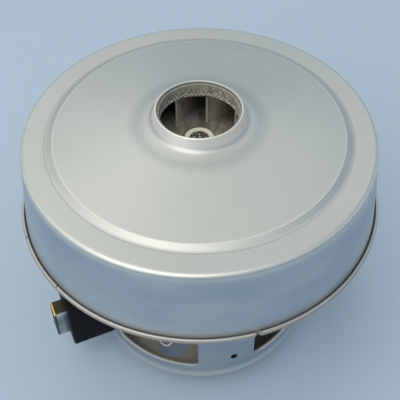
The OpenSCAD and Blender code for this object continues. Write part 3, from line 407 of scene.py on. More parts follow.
def drawn_sheet(name, pale, deep, dull, metal, wear_and_highlights, dark_lines, dust):
    """Drawn and plated sheet: a satin skin with a very fine grain, faint smudges and rings of the press, a
    painted shade of darker grey round the collar and a painted reflection of the floor, bluer in washes, on
    the walls.
    Masks place painted highlights on the bends, partly wear, dark lines, partly painted shade, and dust,
    which is painted paler in the cup as painted light and black on its right as painted shade."""
    f = Finish(name)
    cloud, grain, rings = f.noise(30, 4, rough=0.6), f.noise(2600, 2), f.lines(1500.0)
    wash = f.noise(24, 3, f.vector(f.x, f.y, f.z * 2.5))
    # Painted shade: a darker grey band round the foot of the collar
    flare = f.band(f.r, 22.0, 4.5) * f.past(f.z, 106, 107.5)
    # Painted reflection of the blue floor: bluer washes on everything below the cover's outer edge, the
    # housing too
    wall = f.past(f.z, 101.5, 98) * (0.42 + f.rise(wash, 0.35, 0.65) * 0.36)
    cup = f.past(f.z, 60, 50)
    # Painted shade: the dust in the cup turns black on its right, where x is above -5 mm
    carbon = f.past(f.x + (cloud - 0.5) * (10 * MM), -10, -5) * cup
    rubbed_and_lit, dark_line_share, dusty = wear_and_highlights(f), dark_lines(f), dust(f)
    tone = f.layers(
        deep, (f.rise(cloud, 0.30, 0.70), pale),
        (flare * 0.5, (0.44, 0.47, 0.475)),
        (wall, (0.36, 0.425, 0.505)),
        (f.rise(grain, 0.62, 0.80) * 0.10, [c * 0.75 for c in deep]),
        # Painted highlights and reflection on the bends, partly wear: paler metal, smoother and less metallic
        (rubbed_and_lit * 0.85, (0.93, 0.88, 0.80)),
        # Dark lines: painted shadow where the lining meets the lip, painted shade in the housing's groove,
        # darker lines on the cover's step and edge
        (dark_line_share, (0.075, 0.048, 0.028)))
    # Dust, painted paler in the cup as painted light, and black on its right as painted shade
    dust_light_and_shade_tone = f.layers((0.35, 0.31, 0.27), (cup, (0.62, 0.56, 0.48)), (carbon * 0.9, (0.045, 0.042, 0.040)))
    tone = f.mix(dusty * (0.7 + cloud * 0.4), tone, dust_light_and_shade_tone)
    dust_and_shade = dark_line_share + dusty
    dullness = dull + (cloud - 0.5) * 0.07 + (grain - 0.5) * 0.04 - rubbed_and_lit * 0.08 + dust_and_shade * 0.3
    return f.shade(tone, dullness, metal - rubbed_and_lit * 0.35 - dust_and_shade * 0.7,
                   f.relief(grain * 0.5 + rings * 0.5, 0.012, 0.3))


def cover_edges(f):
    """Bends of the cover painted bright, as painted highlights and partly wear: the outer edge, the step's
    crest, the collar and the lip.
    """
    edge = f.band(f.r, 62.7, 0.55) * f.past(f.z, 101.2, 102.0)
    crest = f.band(f.r, 51.7, 0.38) * f.past(f.z, 103.4, 103.7)
    lip = f.past(f.z, 113.0, 113.4) * f.past(f.r, 14.95, 15.15)
    collar = f.past(f.z, 109.4, 110.6) * f.past(f.r, 17.6, 17.0) * f.past(f.z, 113.3, 113.0)
    return edge * 0.7 + crest * 0.7 + lip + collar * f.past(f.r, 15.0, 15.2)


def cover_dark_lines(f):
    """A thin dark line where the lining meets the lip and a thinner film up the lip's round, both painted
    shadow, and faint darker lines at the foot of the step and below the outer edge."""
    inside = f.past(f.r, 15.0, 14.8)
    film = f.band(f.z, 112.75, 0.3) * 0.6 + f.past(f.z, 112.7, 112.9) * 0.35
    foot = f.band(f.r, 54.8, 0.3) * f.past(f.z, 102.2, 102.5)
    edge = f.band(f.z, 101.45, 0.35) * f.rise(f.noise(40, 3), 0.40, 0.60)
    return film * inside + (foot * 0.3 + edge * 0.4) * f.past(f.r, 50, 51)


def housing_edges(f):
    """The housing's rim painted bright, a painted highlight and partly wear, and the corner of its cup
    painted paler, a painted reflection of the floor.
    """
    rim = f.past(f.z, 73.15, 73.45) * f.past(f.r, 66.2, 66.5)
    corner = f.past(f.z, 14.0, 10.4) * f.past(f.r, 41.0, 42.6)
    return rim * 0.35 + corner * 0.6


def housing_groove_shade(f):
    """Painted shade lies in the groove between the rim and the cover, as a dark band on its floor."""
    return f.past(f.r, 65.3, 65.6) * f.band(f.z, 72.5, 0.35)


def housing_dust(f):
    """Brush dust lies on the cup's floor inside, and a thin brownish film on the outside of the rim."""
    floor = f.past(f.z, 7.5, 8.0) * f.past(f.z, 11.0, 8.6) * f.past(f.r, 42.2, 40.8)
    return floor + f.past(f.r, 66.3, 66.9) * f.past(f.z, 73.65, 73.25) * 0.9


def cover_dust(f):
    """Dust lies on the foot of the cover's wall, just above the rim."""
    return f.past(f.z, 75.6, 74.2) * 0.7


def raw_edge():
    """Sheared edges of the sheet: a painted highlight, bright, along the outside of the cut in the cup's
    wall, darker and torn inside, with fine lines across. The pierced holes in the posts are painted black as
    painted shade."""
    f = Finish("raw_edge")
    lines = f.noise(900, 3, f.vector(f.x, f.y, f.z * 0.1))
    # Painted shade: the walls of the pierced holes in the posts are painted black
    pierced = f.band(abs(f.x), 4.3, 2.2) * f.rise(f.x * f.y, 0.0, 1e-5) * f.past(f.z, 30, 28)
    # Painted highlight: a bright line along the outer edge of the cut in the cup's wall
    outer_highlight = f.past(f.r + (lines - 0.5) * (0.3 * MM), 42.75, 43.05) * f.past(f.r, 60, 50)
    tone = f.layers(
        (0.34, 0.32, 0.29), (outer_highlight, (1.0, 1.0, 0.98)),
        (f.rise(pierced, 0.0, 0.3), (0.012, 0.012, 0.014)))
    return f.shade(tone, 0.35 + lines * 0.1, 0.1, f.relief(lines, 0.03, 0.3))


def felt():
    """Grey pressed fibre: smooth under the lip, then matted and speckled, with two ragged rows of pale
    stitches on a dark band along its lower border."""
    f = Finish("lining_felt")
    hair = f.noise(900, 4, f.vector(f.x, f.y, f.z * 0.45), 0.7)
    speck, pale, ragged = f.fleck(1350), f.fleck(1150), f.noise(700, 3)
    matted = f.past(f.z + (ragged - 0.5) * (1.2 * MM), 111.7, 110.9)
    border = f.past(f.z + (ragged - 0.5) * (0.5 * MM), 109.0, 108.8)
    tone = f.layers(
        (0.25, 0.23, 0.19), (f.rise(hair, 0.30, 0.70), (0.39, 0.36, 0.30)),
        (f.rise(speck, 0.46, 0.24) * matted * 0.85, (0.070, 0.062, 0.050)),
        (f.rise(pale, 0.40, 0.18) * matted * 0.8, (0.80, 0.77, 0.66)),
        (border * 0.85, (0.080, 0.068, 0.054)))
    stitches, pitch = 66, 0.85 * MM
    turn = f.node("ShaderNodeMath", {0: f.y, 1: f.x}, operation="ARCTAN2") * (stitches / TURN)
    for height, offset in ((107.8, 0.0), (108.55, 0.5)):
        share = f.node("ShaderNodeMath", {0: turn + offset + ragged * 0.9}, operation="FRACT") - 0.5
        drop = (f.z - height * MM + (ragged - 0.5) * (0.7 * MM)) * (1 / pitch)
        stitch = f.rise((share * share * 0.6 + drop * drop) ** 0.5, 0.42, 0.26)
        tone = f.mix(stitch * 0.9, tone, (0.84, 0.80, 0.70))
    return f.shade(tone, 0.85 + hair * 0.1, 0.0,
                   f.relief((hair * 0.6 - f.rise(speck, 0.3, 0.1) * 0.4) * matted, 0.25, 0.8))


def moulded(name, tone, dust, dull, shine=0.5):
    """Moulded resin: a slight orange-peel skin, tiny filler specks and dust that settles in patches."""
    f = Finish(name)
    peel, speck, patch = f.noise(650, 2), f.fleck(1400), f.noise(70, 4, rough=0.65)
    skin_tone = f.layers(
        tone, (f.rise(speck, 0.20, 0.08) * 0.5, [min(1.0, c * 2.2 + 0.004) for c in tone]),
        (f.rise(patch, 0.50, 0.78) * 0.45, dust))
    return f.shade(skin_tone, dull + (patch - 0.5) * 0.25 + (peel - 0.5) * 0.08, 0.0,
                   f.relief(peel * 0.7 + speck * 0.3, 0.08, 0.5), **{"Specular IOR Level": shine})


def nut_margin_shade(f):
    """The fan nut is painted dark round its bore and outside the bright ring of its face: painted shade that
    leaves the ring looking round.
    """
    return f.past(f.z, 93.7, 94.0) * (f.past(f.r, 3.65, 3.45) + f.past(f.r, 5.15, 5.4))


def turned_metal(name, pale, deep, dull, tint, tint_share, metal=1.0, dark_margins=None):
    """Machined or plated metal: fine tool lines round the axis, cloudy plating and stains of a second tint. A
    mask can darken margins, which on the fan nut are painted shade."""
    f = Finish(name)
    cloud, stain, lines = f.noise(160, 3), f.noise(420, 4, rough=0.7), f.lines(5200.0)
    tone = f.layers(
        deep, (f.rise(cloud * 0.6 + lines * 0.4, 0.30, 0.70), pale),
        (f.rise(stain, 0.48, 0.74) * tint_share, tint))
    if dark_margins:
        # Painted shade on the margins that the mask gives
        tone = f.mix(dark_margins(f) * 0.85, tone, (0.10, 0.085, 0.065))
    return f.shade(tone, dull + (cloud - 0.5) * 0.18 + (lines - 0.5) * 0.14, metal,
                   f.relief(lines, 0.03, 0.4))


def fan_metal():
    """Aluminium of the fan: rolled streaks, brown dust blown outwards in rays, painted shade that darkens the
    channels outwards to near black, and painted highlights, white and matt, on the blade edges."""
    f = Finish("impeller_metal")
    streak = f.noise(260, 3, f.vector(f.x, f.y, f.z * 0.3))
    dust, grain = f.noise(130, 5, rough=0.7), f.noise(1600, 2)
    # Painted highlight: the blade edges are painted white and matt
    edge = f.past(f.r, 22.75, 22.6) * f.past(f.r, 21.9, 22.2)
    bright = edge * f.past(f.z, 86.0, 86.6)
    rays = f.noise(5.5, 4, f.vector(f.x / f.r, f.y / f.r, f.r * 9.0), rough=0.6)
    plate = f.past(f.z, 86.5, 86.0) * f.past(f.r, 25, 22)
    soot = f.rise(dust * 0.3 + rays * 0.7, 0.42, 0.58) * (1 - plate * 0.25)
    tone = f.layers(
        (0.80, 0.75, 0.65), (f.rise(streak, 0.3, 0.7), (0.98, 0.94, 0.85)),
        (soot * 0.7, (0.23, 0.185, 0.13)),
        (f.rise(grain, 0.62, 0.76) * 0.35, (0.10, 0.07, 0.05)),
        # Painted shade: the channels darken outwards to near black
        (f.past(f.r, 23.5, 34.0) * 0.9, (0.035, 0.028, 0.022)),
        (bright, (1.0, 0.98, 0.95)))
    return f.shade(tone, 0.34 + dust * 0.2, (0.25 - soot * 0.15) * (1 - bright),
                   f.relief(grain * 0.5 + dust * 0.5, 0.06, 0.4))


def laminated():
    """A stack of thin steel sheets: dark seams, sheets of slightly different tone, rust."""
    f = Finish("core_steel")
    sheet_t = 0.5 * MM
    saw = f.node("ShaderNodeMath", {0: f.z * (1 / sheet_t)}, operation="FRACT")
    seam = f.rise(abs(saw - 0.5), 0.36, 0.49)
    sheet = f.noise(1.0, 1, f.vector(0.0, 0.0, f.z * 1900.0))
    rust, scratch = f.noise(150, 5, rough=0.65), f.noise(700, 3, f.vector(f.x, f.y, f.z * 0.05))
    tone = f.layers(
        (0.22, 0.22, 0.225), (f.rise(sheet * 0.6 + scratch * 0.4, 0.35, 0.65), (0.42, 0.42, 0.42)),
        (f.rise(rust, 0.52, 0.72) * 0.6, (0.24, 0.12, 0.06)),
        (seam * 0.8, (0.05, 0.045, 0.04)))
    return f.shade(tone, 0.36 + rust * 0.3, 0.85 - f.rise(rust, 0.5, 0.75) * 0.5,
                   f.relief(1 - seam, 0.08, 0.7))


def pressed_fibre():
    """Insulating board: cream paper with long fibres, dark flecks and brown heat marks."""
    f = Finish("fibre")
    hair, heat = f.noise(500, 4, f.vector(f.x, f.y * 0.3, f.z), 0.65), f.noise(60, 3)
    tone = f.layers(
        (0.55, 0.46, 0.30), (f.rise(hair, 0.3, 0.7), (0.78, 0.70, 0.52)),
        (f.rise(heat, 0.5, 0.8) * 0.5, (0.33, 0.22, 0.11)))
    return f.shade(tone, 0.75 + hair * 0.15, 0.0, f.relief(hair, 0.08, 0.5))


def enamelled_wire():
    """Copper wire under varnish: each strand a little lighter or darker, varnish pooled in brown patches."""
    f = Finish("copper_wire")
    strand = f.node("ShaderNodeAttribute", out="Fac", attribute_name="strand")
    varnish, scuff = f.noise(180, 4, rough=0.6), f.noise(900, 2)
    tone = f.layers(
        (0.36, 0.115, 0.035), (strand, (0.66, 0.27, 0.10)),
        (f.rise(varnish, 0.46, 0.72) * 0.6, (0.17, 0.055, 0.02)),
        (f.rise(scuff, 0.60, 0.74) * 0.35, (0.85, 0.48, 0.28)))
    return f.shade(tone, 0.26 + varnish * 0.22, 0.75, f.relief(varnish, 0.05, 0.3),
                   **{"Coat Weight": 0.35, "Coat Roughness": 0.2})


def commutator_metal():
    """Copper bars: bright ends, a brown polished track where the brush runs, with fine lines round it."""
    f = Finish("commutator_copper")
    track = f.past(f.z, 15.4, 16.2) * f.past(f.z, 29.6, 28.8)
    lines, cloud = f.noise(1.0, 3, f.vector(0.0, 0.0, f.z * 6000.0)), f.noise(260, 3)
    tone = f.layers(
        (0.62, 0.29, 0.14), (f.rise(cloud, 0.3, 0.7), (0.80, 0.44, 0.25)),
        (track * (0.45 + lines * 0.4), (0.20, 0.085, 0.045)))
    return f.shade(tone, 0.30 + lines * 0.14 - track * 0.08, 0.95, f.relief(lines, 0.03, 0.5))


def tarnished_brass():
    """Plated brass of the brush holders: silvery sides with a darker bluish band in the middle, a painted
    reflection, painted shade next to the block, a painted highlight along their top, olive-black painted
    shade above and below, a golden outer edge where the plating is gone and a dark end face."""
    f = Finish("brush_brass")
    reach, rise = abs(f.x), abs(f.z - BRUSH_Z * MM)
    tarnish, spot, grain = f.noise(120, 5, rough=0.65), f.fleck(520), f.noise(1500, 2)
    end = f.past(reach, 63.75, 63.95)
    edge = end * f.past(reach, 64.62, 64.5) * f.past(f.z, BRUSH_Z + 6.4, BRUSH_Z + 7.0)
    tone = f.layers(
        (0.40, 0.43, 0.42), (f.rise(tarnish, 0.32, 0.68), (0.62, 0.64, 0.61)),
        (f.rise(spot, 0.18, 0.06) * 0.35, (0.16, 0.13, 0.08)),
        # Painted reflection: a darker bluish band in the middle of the sides
        (f.band(f.z, BRUSH_Z + 2.0, 4.5) * 0.75, (0.20, 0.26, 0.28)),
        # Painted shade next to the block
        (f.past(reach, 61.8, 60.2) * 0.6, (0.10, 0.14, 0.17)),
        # Painted highlight along the top of the sides
        (f.band(f.z, BRUSH_Z + 6.5, 0.5) * 0.8, (0.98, 0.97, 0.93)),
        # Painted shade: olive-black on the top and bottom faces
        (f.past(rise, 6.9, 7.25) * (0.85 + tarnish * 0.15), (0.040, 0.033, 0.009)),
        (end * (0.75 + tarnish * 0.25), (0.060, 0.042, 0.028)),
        (edge * (0.75 + tarnish * 0.25), (0.92, 0.66, 0.16)))
    return f.shade(tone, 0.36 + tarnish * 0.16 - edge * 0.12, 0.9,
                   f.relief(grain * 0.5 + tarnish * 0.5, 0.03, 0.35))


def spindle():
    """Shaft steel: dark and oily, with fine tool lines and painted glints, bright and matt, on a few nicks.
    """
    f = Finish("shaft_steel")
    lines, oil, nick = f.lines(5200.0), f.noise(300, 4, rough=0.6), f.fleck(900)
    # Painted glints: bright, matt flecks on a few nicks
    painted_glint = f.rise(nick, 0.30, 0.20)
    tone = f.layers(
        (0.05, 0.045, 0.042), (f.rise(oil * 0.6 + lines * 0.4, 0.3, 0.7), (0.20, 0.19, 0.18)),
        (painted_glint, (0.95, 0.95, 0.93)))
    return f.shade(tone, 0.34 + oil * 0.1, 0.85 - painted_glint * 0.6, f.relief(lines * 0.4 + nick * 0.6, 0.06, 0.5))


def graphite():
    """Brush carbon: near-black grey with painted glints of paler grey and a faint pressed grain along the
    brush.
    """
    f = Finish("carbon")
    grain, painted_glint = f.noise(800, 3, f.vector(f.x * 0.3, f.y, f.z)), f.fleck(1500)
    tone = f.layers(
        (0.022, 0.022, 0.024), (f.rise(grain, 0.3, 0.7), (0.07, 0.07, 0.072)),
        # Painted glints: paler grey flecks
        (f.rise(painted_glint, 0.14, 0.04) * 0.7, (0.30, 0.30, 0.31)))
    return f.shade(tone, 0.42 + grain * 0.15, 0.3, f.relief(grain, 0.05, 0.5))


def glass_sleeve():
    """White braided sleeve: slanting threads both ways, with a little grey dust between them."""
    f = Finish("white_sleeve")
    threads = [f.node("ShaderNodeTexWave", {"Vector": spot, "Scale": 420.0, "Distortion": 0.6},
                      bands_direction="DIAGONAL") for spot in (f.spot, f.vector(f.x, 0.0 - f.y, f.z))]
    braid, dust = threads[0] * threads[1], f.noise(300, 3)
    tone = f.layers(
        (0.80, 0.79, 0.76), (f.rise(braid, 0.05, 0.5), (0.97, 0.97, 0.95)),
        (f.rise(dust, 0.55, 0.8) * 0.5, (0.42, 0.39, 0.33)))
    return f.shade(tone, 0.6 + dust * 0.15, 0.0, f.relief(braid, 0.12, 0.7))


# Turned metals: a pale and a deep tone, dullness, the tint of stains and its share
TURNED = (
    ("screw_steel", (0.62, 0.62, 0.60), (0.44, 0.44, 0.43), 0.32, (0.50, 0.44, 0.28), 0.5),
    ("bracket_metal", (0.56, 0.57, 0.57), (0.44, 0.45, 0.45), 0.40, (0.30, 0.26, 0.2), 0.3),
    ("bearing_steel", (0.70, 0.70, 0.70), (0.60, 0.60, 0.61), 0.18, (0.38, 0.33, 0.26), 0.25),
    ("cage_brass", (0.66, 0.50, 0.25), (0.50, 0.36, 0.16), 0.35, (0.24, 0.16, 0.08), 0.4),
    ("spring_steel", (0.50, 0.50, 0.50), (0.36, 0.36, 0.36), 0.30, (0.30, 0.22, 0.13), 0.35),
)
# Kept by slot, without the number that Blender adds where the frame has a material of that name
FINISHES = {made.name.split(".")[0]: made for made in (
    drawn_sheet("cover_metal", pale=(0.66, 0.67, 0.65), deep=(0.63, 0.64, 0.625), dull=0.42, metal=0.96,
                wear_and_highlights=cover_edges, dark_lines=cover_dark_lines, dust=cover_dust),
    drawn_sheet("housing_metal", pale=(0.60, 0.60, 0.58), deep=(0.54, 0.54, 0.52), dull=0.40, metal=0.95,
                wear_and_highlights=housing_edges, dark_lines=housing_groove_shade, dust=housing_dust),
    moulded("dark_plastic", tone=(0.028, 0.028, 0.030), dust=(0.15, 0.135, 0.115), dull=0.45),
    moulded("moulding", tone=(0.075, 0.038, 0.020), dust=(0.17, 0.13, 0.10), dull=0.42),
    moulded("block_plastic", tone=(0.005, 0.005, 0.006), dust=(0.014, 0.013, 0.013), dull=0.50, shine=0.10),
    turned_metal("hub_metal", pale=(1.0, 0.98, 0.86), deep=(0.96, 0.92, 0.76), dull=0.30,
                 tint=(0.72, 0.66, 0.50), tint_share=0.15, metal=0.15, dark_margins=nut_margin_shade),
    *(turned_metal(*row) for row in TURNED), felt(), fan_metal(), spindle(), laminated(), pressed_fibre(),
    enamelled_wire(), commutator_metal(), tarnished_brass(), graphite(), glass_sleeve())}
for part in frame["record"]["subparts"]:
    node = frame["nodes"][part["node"]]
    node.data.materials.clear()
    node.data.materials.append(FINISHES[part["material_slot"]])


# Sheet metal

def punched(name, shape, cutters, slot, edge):
    """A mesh of the shape with the cutters' volumes taken out. The new faces wear the edge finish."""
    body, tool = placed(name, mesh_of(name, shape)), placed(name + "_tool", mesh_of(name + "_tool", cutters))
    body.data.materials.append(FINISHES[slot])
    tool.data.materials.append(edge)
    cut = body.modifiers.new("cut", "BOOLEAN")
    cut.operation, cut.solver, cut.object, cut.material_mode = "DIFFERENCE", "EXACT", tool, "TRANSFER"
    mesh = bpy.data.meshes.new_from_object(body.evaluated_get(bpy.context.evaluated_depsgraph_get()))
    for made in (body, tool):
        bpy.data.objects.remove(made)
    return mesh


def at_angle(shape, degrees):
    """A shape made on +X, moved to an angle that counts from -Y towards +X."""
    return turned(shape, degrees - 90)


def window_plug(start, end):
    """A window between two angles: a round-cornered rectangle pushed in from outside."""
    half = CUP_R * math.sin(math.radians(end - start) / 2)
    middle, half_z = (WINDOW_TOP + SILL_Z) / 2, (WINDOW_TOP - SILL_Z) / 2
    outline = round_loop(half, half_z, corner=3.0, steps=8) + [0, middle]
    reach = CUP_IN * math.cos(math.radians(end - start) / 2) - 1
    return at_angle(prism(outline, reach, CUP_R + 1), (start + end) / 2)


def upright(outline, z0, z1):
    """A plug upright on Z with an outline of (x, y)."""
    points, faces = prism(outline, z0, z1)
    return points[:, [1, 2, 0]], faces


def at_corners(shape):
    """The shape four times, turned to each of the corners."""
    return together([turned(shape, a) for a in CORNERS])


def housing_plugs():
    """What the press takes out of the housing, from its windows to the slits in its rim."""
    way = prism(round_loop(TUBE_Y + 0.4, TUBE_Z + 0.4, corner=0.6) + [0, BRUSH_Z], *THROUGH_WALL)
    screw_ways = together([prism(circle(1.5) + [y, SCREW_Z], *THROUGH_WALL) for y in SCREW_YS])
    pierced = prism(circle(1.4) + [0, 20.5], *THROUGH_WALL)
    floor_hole = upright(circle(6.7) + [30.0, 0], FLOOR_Z - 1, FLOOR_Z + 2.2)
    tray_hole = upright(circle(2.0) + [TRAY_SCREW_R, 0], *THROUGH_TRAY)
    notch = upright(np.array([[0, 0], [3.4, -3.4], [3.4, 3.4]]) + [RIM_R - 1.7, 0], TRAY_Z - 1, LIP_TOP + 2)
    slit = prism(round_loop(0.25, 1.0, corner=0.05) + [0, LIP_TOP + 0.1], RIM_R - 2.4, RIM_R + 1)
    plugs = [window_plug(start, end) for start, end in WINDOWS]
    plugs += [at_angle(hole, a) for hole in (way, screw_ways) for a in (90, 270)]
    plugs += [at_angle(pierced, a) for a in PLAIN_POSTS] + [at_corners(floor_hole), at_corners(tray_hole)]
    return together(plugs + [at_angle(notch, -6.7)] + [at_angle(slit, a) for a in (-92, -70)])


def stator_lug():
    """A block on +X with an eased inner end, from the stator's seat to the cup's wall."""
    inner, outer, z, half_y, half_z, ease = 35.2, 42.6, 37.0, 4.0, 1.0, 0.25
    full, eased_end = (half_y, half_z, 0.3), (half_y - ease, half_z - ease, 0.3)
    rows = ((inner, POINT), (inner, eased_end), (inner + 0.3, full), (outer, full), (outer, POINT))
    return skin(loft([(x, z, *loop) for x, loop in rows]))


housing_section = guarded(sheet_section(HOUSING_PATH, HOUSING_BENDS, HOUSING_T))
housing = punched("drawn_housing", skin(lathe(housing_section)), housing_plugs(), "housing_metal", raw_edge())
piece("drawn_housing", housing, "housing_metal",
      ["housing_tray", "cup_wall", "cup_posts", "cup_sill", "cup_floor", "bearing_cup"])
piece("stator_lugs", at_corners(stator_lug()), "housing_metal")

cover_section = sheet_section(COVER_PATH, COVER_BENDS, COVER_T)
cover_section = guarded(np.vstack([cover_section, cover_section[:1]]))[:-1]
piece("drawn_cover", skin(lathe(cover_section, 360), wrap_rows=True), "cover_metal", ["fan_cover"])


# Inlet lining

def felt_ring():
    """The lining's section turned about Z. Its bore is roughened at random, smoothed round the bore and less
    towards the top, and its lower border hangs in a fringe of random length."""
    rows, cols, bore_r, rough_by, fringe_by = 26, 360, 14.0, 0.07, 0.42
    bore = np.stack([np.full(rows, bore_r), np.linspace(107.6, 112.35, rows)], -1)
    section = np.vstack([bore, [[14.2, 112.6], [14.65, 112.6], [15.6, 109.2], [15.7, 108.15], [20.2, 107.35],
                                [20.2, 105.5], [16.4, 105.5], [16.4, 107.6], [15.4, 107.65], [14.6, 107.6]]])
    grid = lathe(section, cols)
    rough = chance.normal(0, 1, (rows, cols))
    rough = (rough + np.roll(rough, 1, 1) + np.roll(rough, -1, 1)) / 3
    fringe = np.convolve(np.tile(chance.uniform(0, 1, cols), 3), [0.25, 0.5, 0.25], "same")[cols:2 * cols]
    fade = np.linspace(1.6, 0.6, rows)[:, None, None]
    grid[:rows, :, :2] *= 1 + rough[..., None] * fade * rough_by / bore_r
    for row, share in ((0, 1.0), (1, 0.6), (2, 0.3), (-1, 0.5)):
        grid[row, :, 2] -= fringe * fringe_by * share
    return skin(grid, wrap_rows=True)


piece("felt_lining", felt_ring(), "lining_felt", ["inlet_lining"], sharp=70)


# Brush gear

def tube_row(x, inset, corner):
    """A row for loft: the tube's outline at x, drawn in by an inset."""
    return x, BRUSH_Z, TUBE_Y - inset, TUBE_Z - inset, corner


def brush_tube():
    """A folded tube of round-cornered rectangles: outside along X, over the rim, and back inside."""
    rows = ((TUBE_X0, 0, 0.9), (TUBE_X1 - 0.15, 0, 0.9), (TUBE_X1, 0.12, 0.8), (TUBE_X1, 0.6, 0.35),
            (TUBE_X0, 0.6, 0.35))
    return skin(loft([tube_row(*row) for row in rows]), wrap_rows=True)


def brush_cap():
    """A cap that plugs the tube: a plug, then a plate with a rounded edge and a shallow dish in its face."""
    dish = CAP_X1 - 0.28
    rows = ((CAP_X0, 0.7, 0.3), (TUBE_X1, 0.65, 0.3), (TUBE_X1, 0.1, 0.8), (TUBE_X1 + 0.12, 0, 0.9),
            (CAP_X1 - 0.3, 0, 0.9), (CAP_X1 - 0.08, 0.1, 0.85), (CAP_X1, 0.35, 0.75), (CAP_X1, 0.9, 0.6),
            (dish, 1.3, 0.5))
    return skin(loft([(CAP_X0, BRUSH_Z, *POINT), *(tube_row(*row) for row in rows), (dish, BRUSH_Z, *POINT)]))


def brush_block():
    """The moulded holder: a round-edged block whose back follows the cup, with the tube's way through it."""
    mid, half, edge, corner = (BLOCK_Z0 + BLOCK_Z1) / 2, (BLOCK_Z1 - BLOCK_Z0) / 2, 0.9, 1.2
    soft = [(BLOCK_X1 - edge + edge * math.sin(t), edge * (1 - math.cos(t)))
            for t in np.linspace(0, math.pi / 2, 6)]
    rows = [(CUP_R, mid, BLOCK_Y - 0.3, half - 0.3, 1.0)]
    rows += [(x, mid, BLOCK_Y - inset, half - inset, corner) for x, inset in [(CUP_R, 0), (46.0, 0)] + soft]
    rows += [tube_row(BLOCK_X1, -0.6, 1.0), tube_row(BLOCK_X1 - 0.3, -0.02, 0.9), tube_row(CUP_R, -0.02, 0.9)]
    grid = loft(rows)
    for row, back in ((0, 43.56), (1, 43.9), (-1, 43.56)):
        grid[row, :, 0] = np.sqrt(back**2 - grid[row, :, 1] ** 2)
    return skin(grid, wrap_rows=True)


def cross_screw(head_r, head_h, shank_r, length, recess):
    """A pan-head screw upright on Z with its head's seat at 0: a turned section whose top is sunk along a
    cross of two bars. The shank's radius swings with height and angle as a thread."""
    sides, shank_rows, top_rows, crown, edge, depth, pitch = 96, 60, 24, 0.1, 0.45, 0.8, 0.7
    t = np.linspace(0, math.pi / 2, 8)
    dome = np.stack([head_r - edge + edge * np.cos(t), head_h - crown - edge + edge * np.sin(t)], -1)
    top = np.linspace([head_r - 0.5, head_h - crown], [0, head_h], top_rows)
    shank = np.stack([np.full(shank_rows, shank_r), np.linspace(-length + 0.4, 0, shank_rows)], -1)
    section = np.vstack([[[0, -length], [shank_r - 0.4, -length]], shank, [[head_r - 0.1, 0], [head_r, 0.1]],
                         dome, top])
    grid = lathe(section, sides)
    x, y = np.abs(grid[-top_rows:, :, 0]), np.abs(grid[-top_rows:, :, 1])
    bars = [np.clip((0.36 - a) / 0.12, 0, 1) * np.clip((recess - b) / 0.3, 0, 1) for a, b in ((x, y), (y, x))]
    grid[-top_rows:, :, 2] -= depth * np.maximum(*bars)
    thread = grid[2:2 + shank_rows]
    wave = np.abs((thread[..., 2] / pitch - np.linspace(0, 1, sides, endpoint=False)) % 1 - 0.5) * 0.5
    thread[..., :2] *= (1 - wave * 0.8 / shank_r * (thread[..., 2] < -0.8))[..., None]
    return skin(grid)


for side, degrees in SIDES:
    piece("folded_tube_" + side, turned(brush_tube(), degrees), "brush_brass", ["brush_tube_" + side])
    piece("dished_cap_" + side, turned(brush_cap(), degrees), "brush_brass", ["brush_cap_" + side])
    sinks = together([turned(prism(circle(2.6) + [y, SCREW_Z], SCREW_X, BLOCK_X1 + 1), degrees)
                      for y in SCREW_YS])
    block = punched("moulded_holder_" + side, turned(brush_block(), degrees), sinks, "block_plastic",
                    FINISHES["block_plastic"])
    piece("moulded_holder_" + side, block, "block_plastic", ["brush_block_" + side])
holder_screw = cross_screw(head_r=2.5, head_h=1.8, shank_r=1.4, length=14.6, recess=1.5)
piece("holder_screws", together([turned(laid_along_x(holder_screw, [SCREW_X, y, SCREW_Z]), degrees)
                                 for _, degrees in SIDES for y in SCREW_YS]),
      "screw_steel", ["block_screws"])


def spring_path():
    """A helix about the brush's axis, with its first and last curl closed up."""
    f = np.linspace(0, 1, SPRING_TURNS * 28)
    share = f + 0.035 * np.sin(TURN * f)
    x = SPRING_X0 + SPRING_WIRE + (SPRING_X1 - SPRING_X0 - 2 * SPRING_WIRE) * share
    a = SPRING_TURNS * TURN * f
    return np.stack([x, SPRING_R * np.cos(a), BRUSH_Z + SPRING_R * np.sin(a)], -1)


def braided_shunt():
    """A copper pigtail: seven fine strands wound about the brush's axis."""
    strands, winds, r, wire = 7, 6, 0.52, 0.25
    f, k = np.linspace(0, 1, 90), np.arange(strands)[:, None]
    a = TURN * (winds * f + k / strands)
    x = SPRING_X0 + (SPRING_X1 - SPRING_X0) * f + 0 * k
    return tubes(np.stack([x, r * np.cos(a), BRUSH_Z + r * np.sin(a)], -1), [0.0, 0.0, 1.0], wire, 6)


for side, degrees in SIDES:
    coil = piece("brush_coil_spring_" + side,
                 turned(tubes(spring_path(), [1.0, 0.0, 0.0], SPRING_WIRE, sides=10), degrees),
                 "spring_steel", ["brush_spring_" + side])
    tail = piece("braided_shunt_" + side, turned(braided_shunt(), degrees), "commutator_copper",
                 ["brush_shunt_" + side])
    for soft in (coil, tail):
        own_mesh(soft)
    piece("sleeved_lead_" + side,
          turned(tubes(eased(LEAD_ROUTE, 8), [1.0, 0.0, 0.0], LEAD_R, sides=14), degrees + 180),
          "white_sleeve", ["field_lead_" + side])


# Windings

def pairs(first, second):
    """Two columns with every pair of numbers that count up to a first and a second number."""
    return (g.ravel()[:, None] for g in np.meshgrid(np.arange(first), np.arange(second), indexing="ij"))


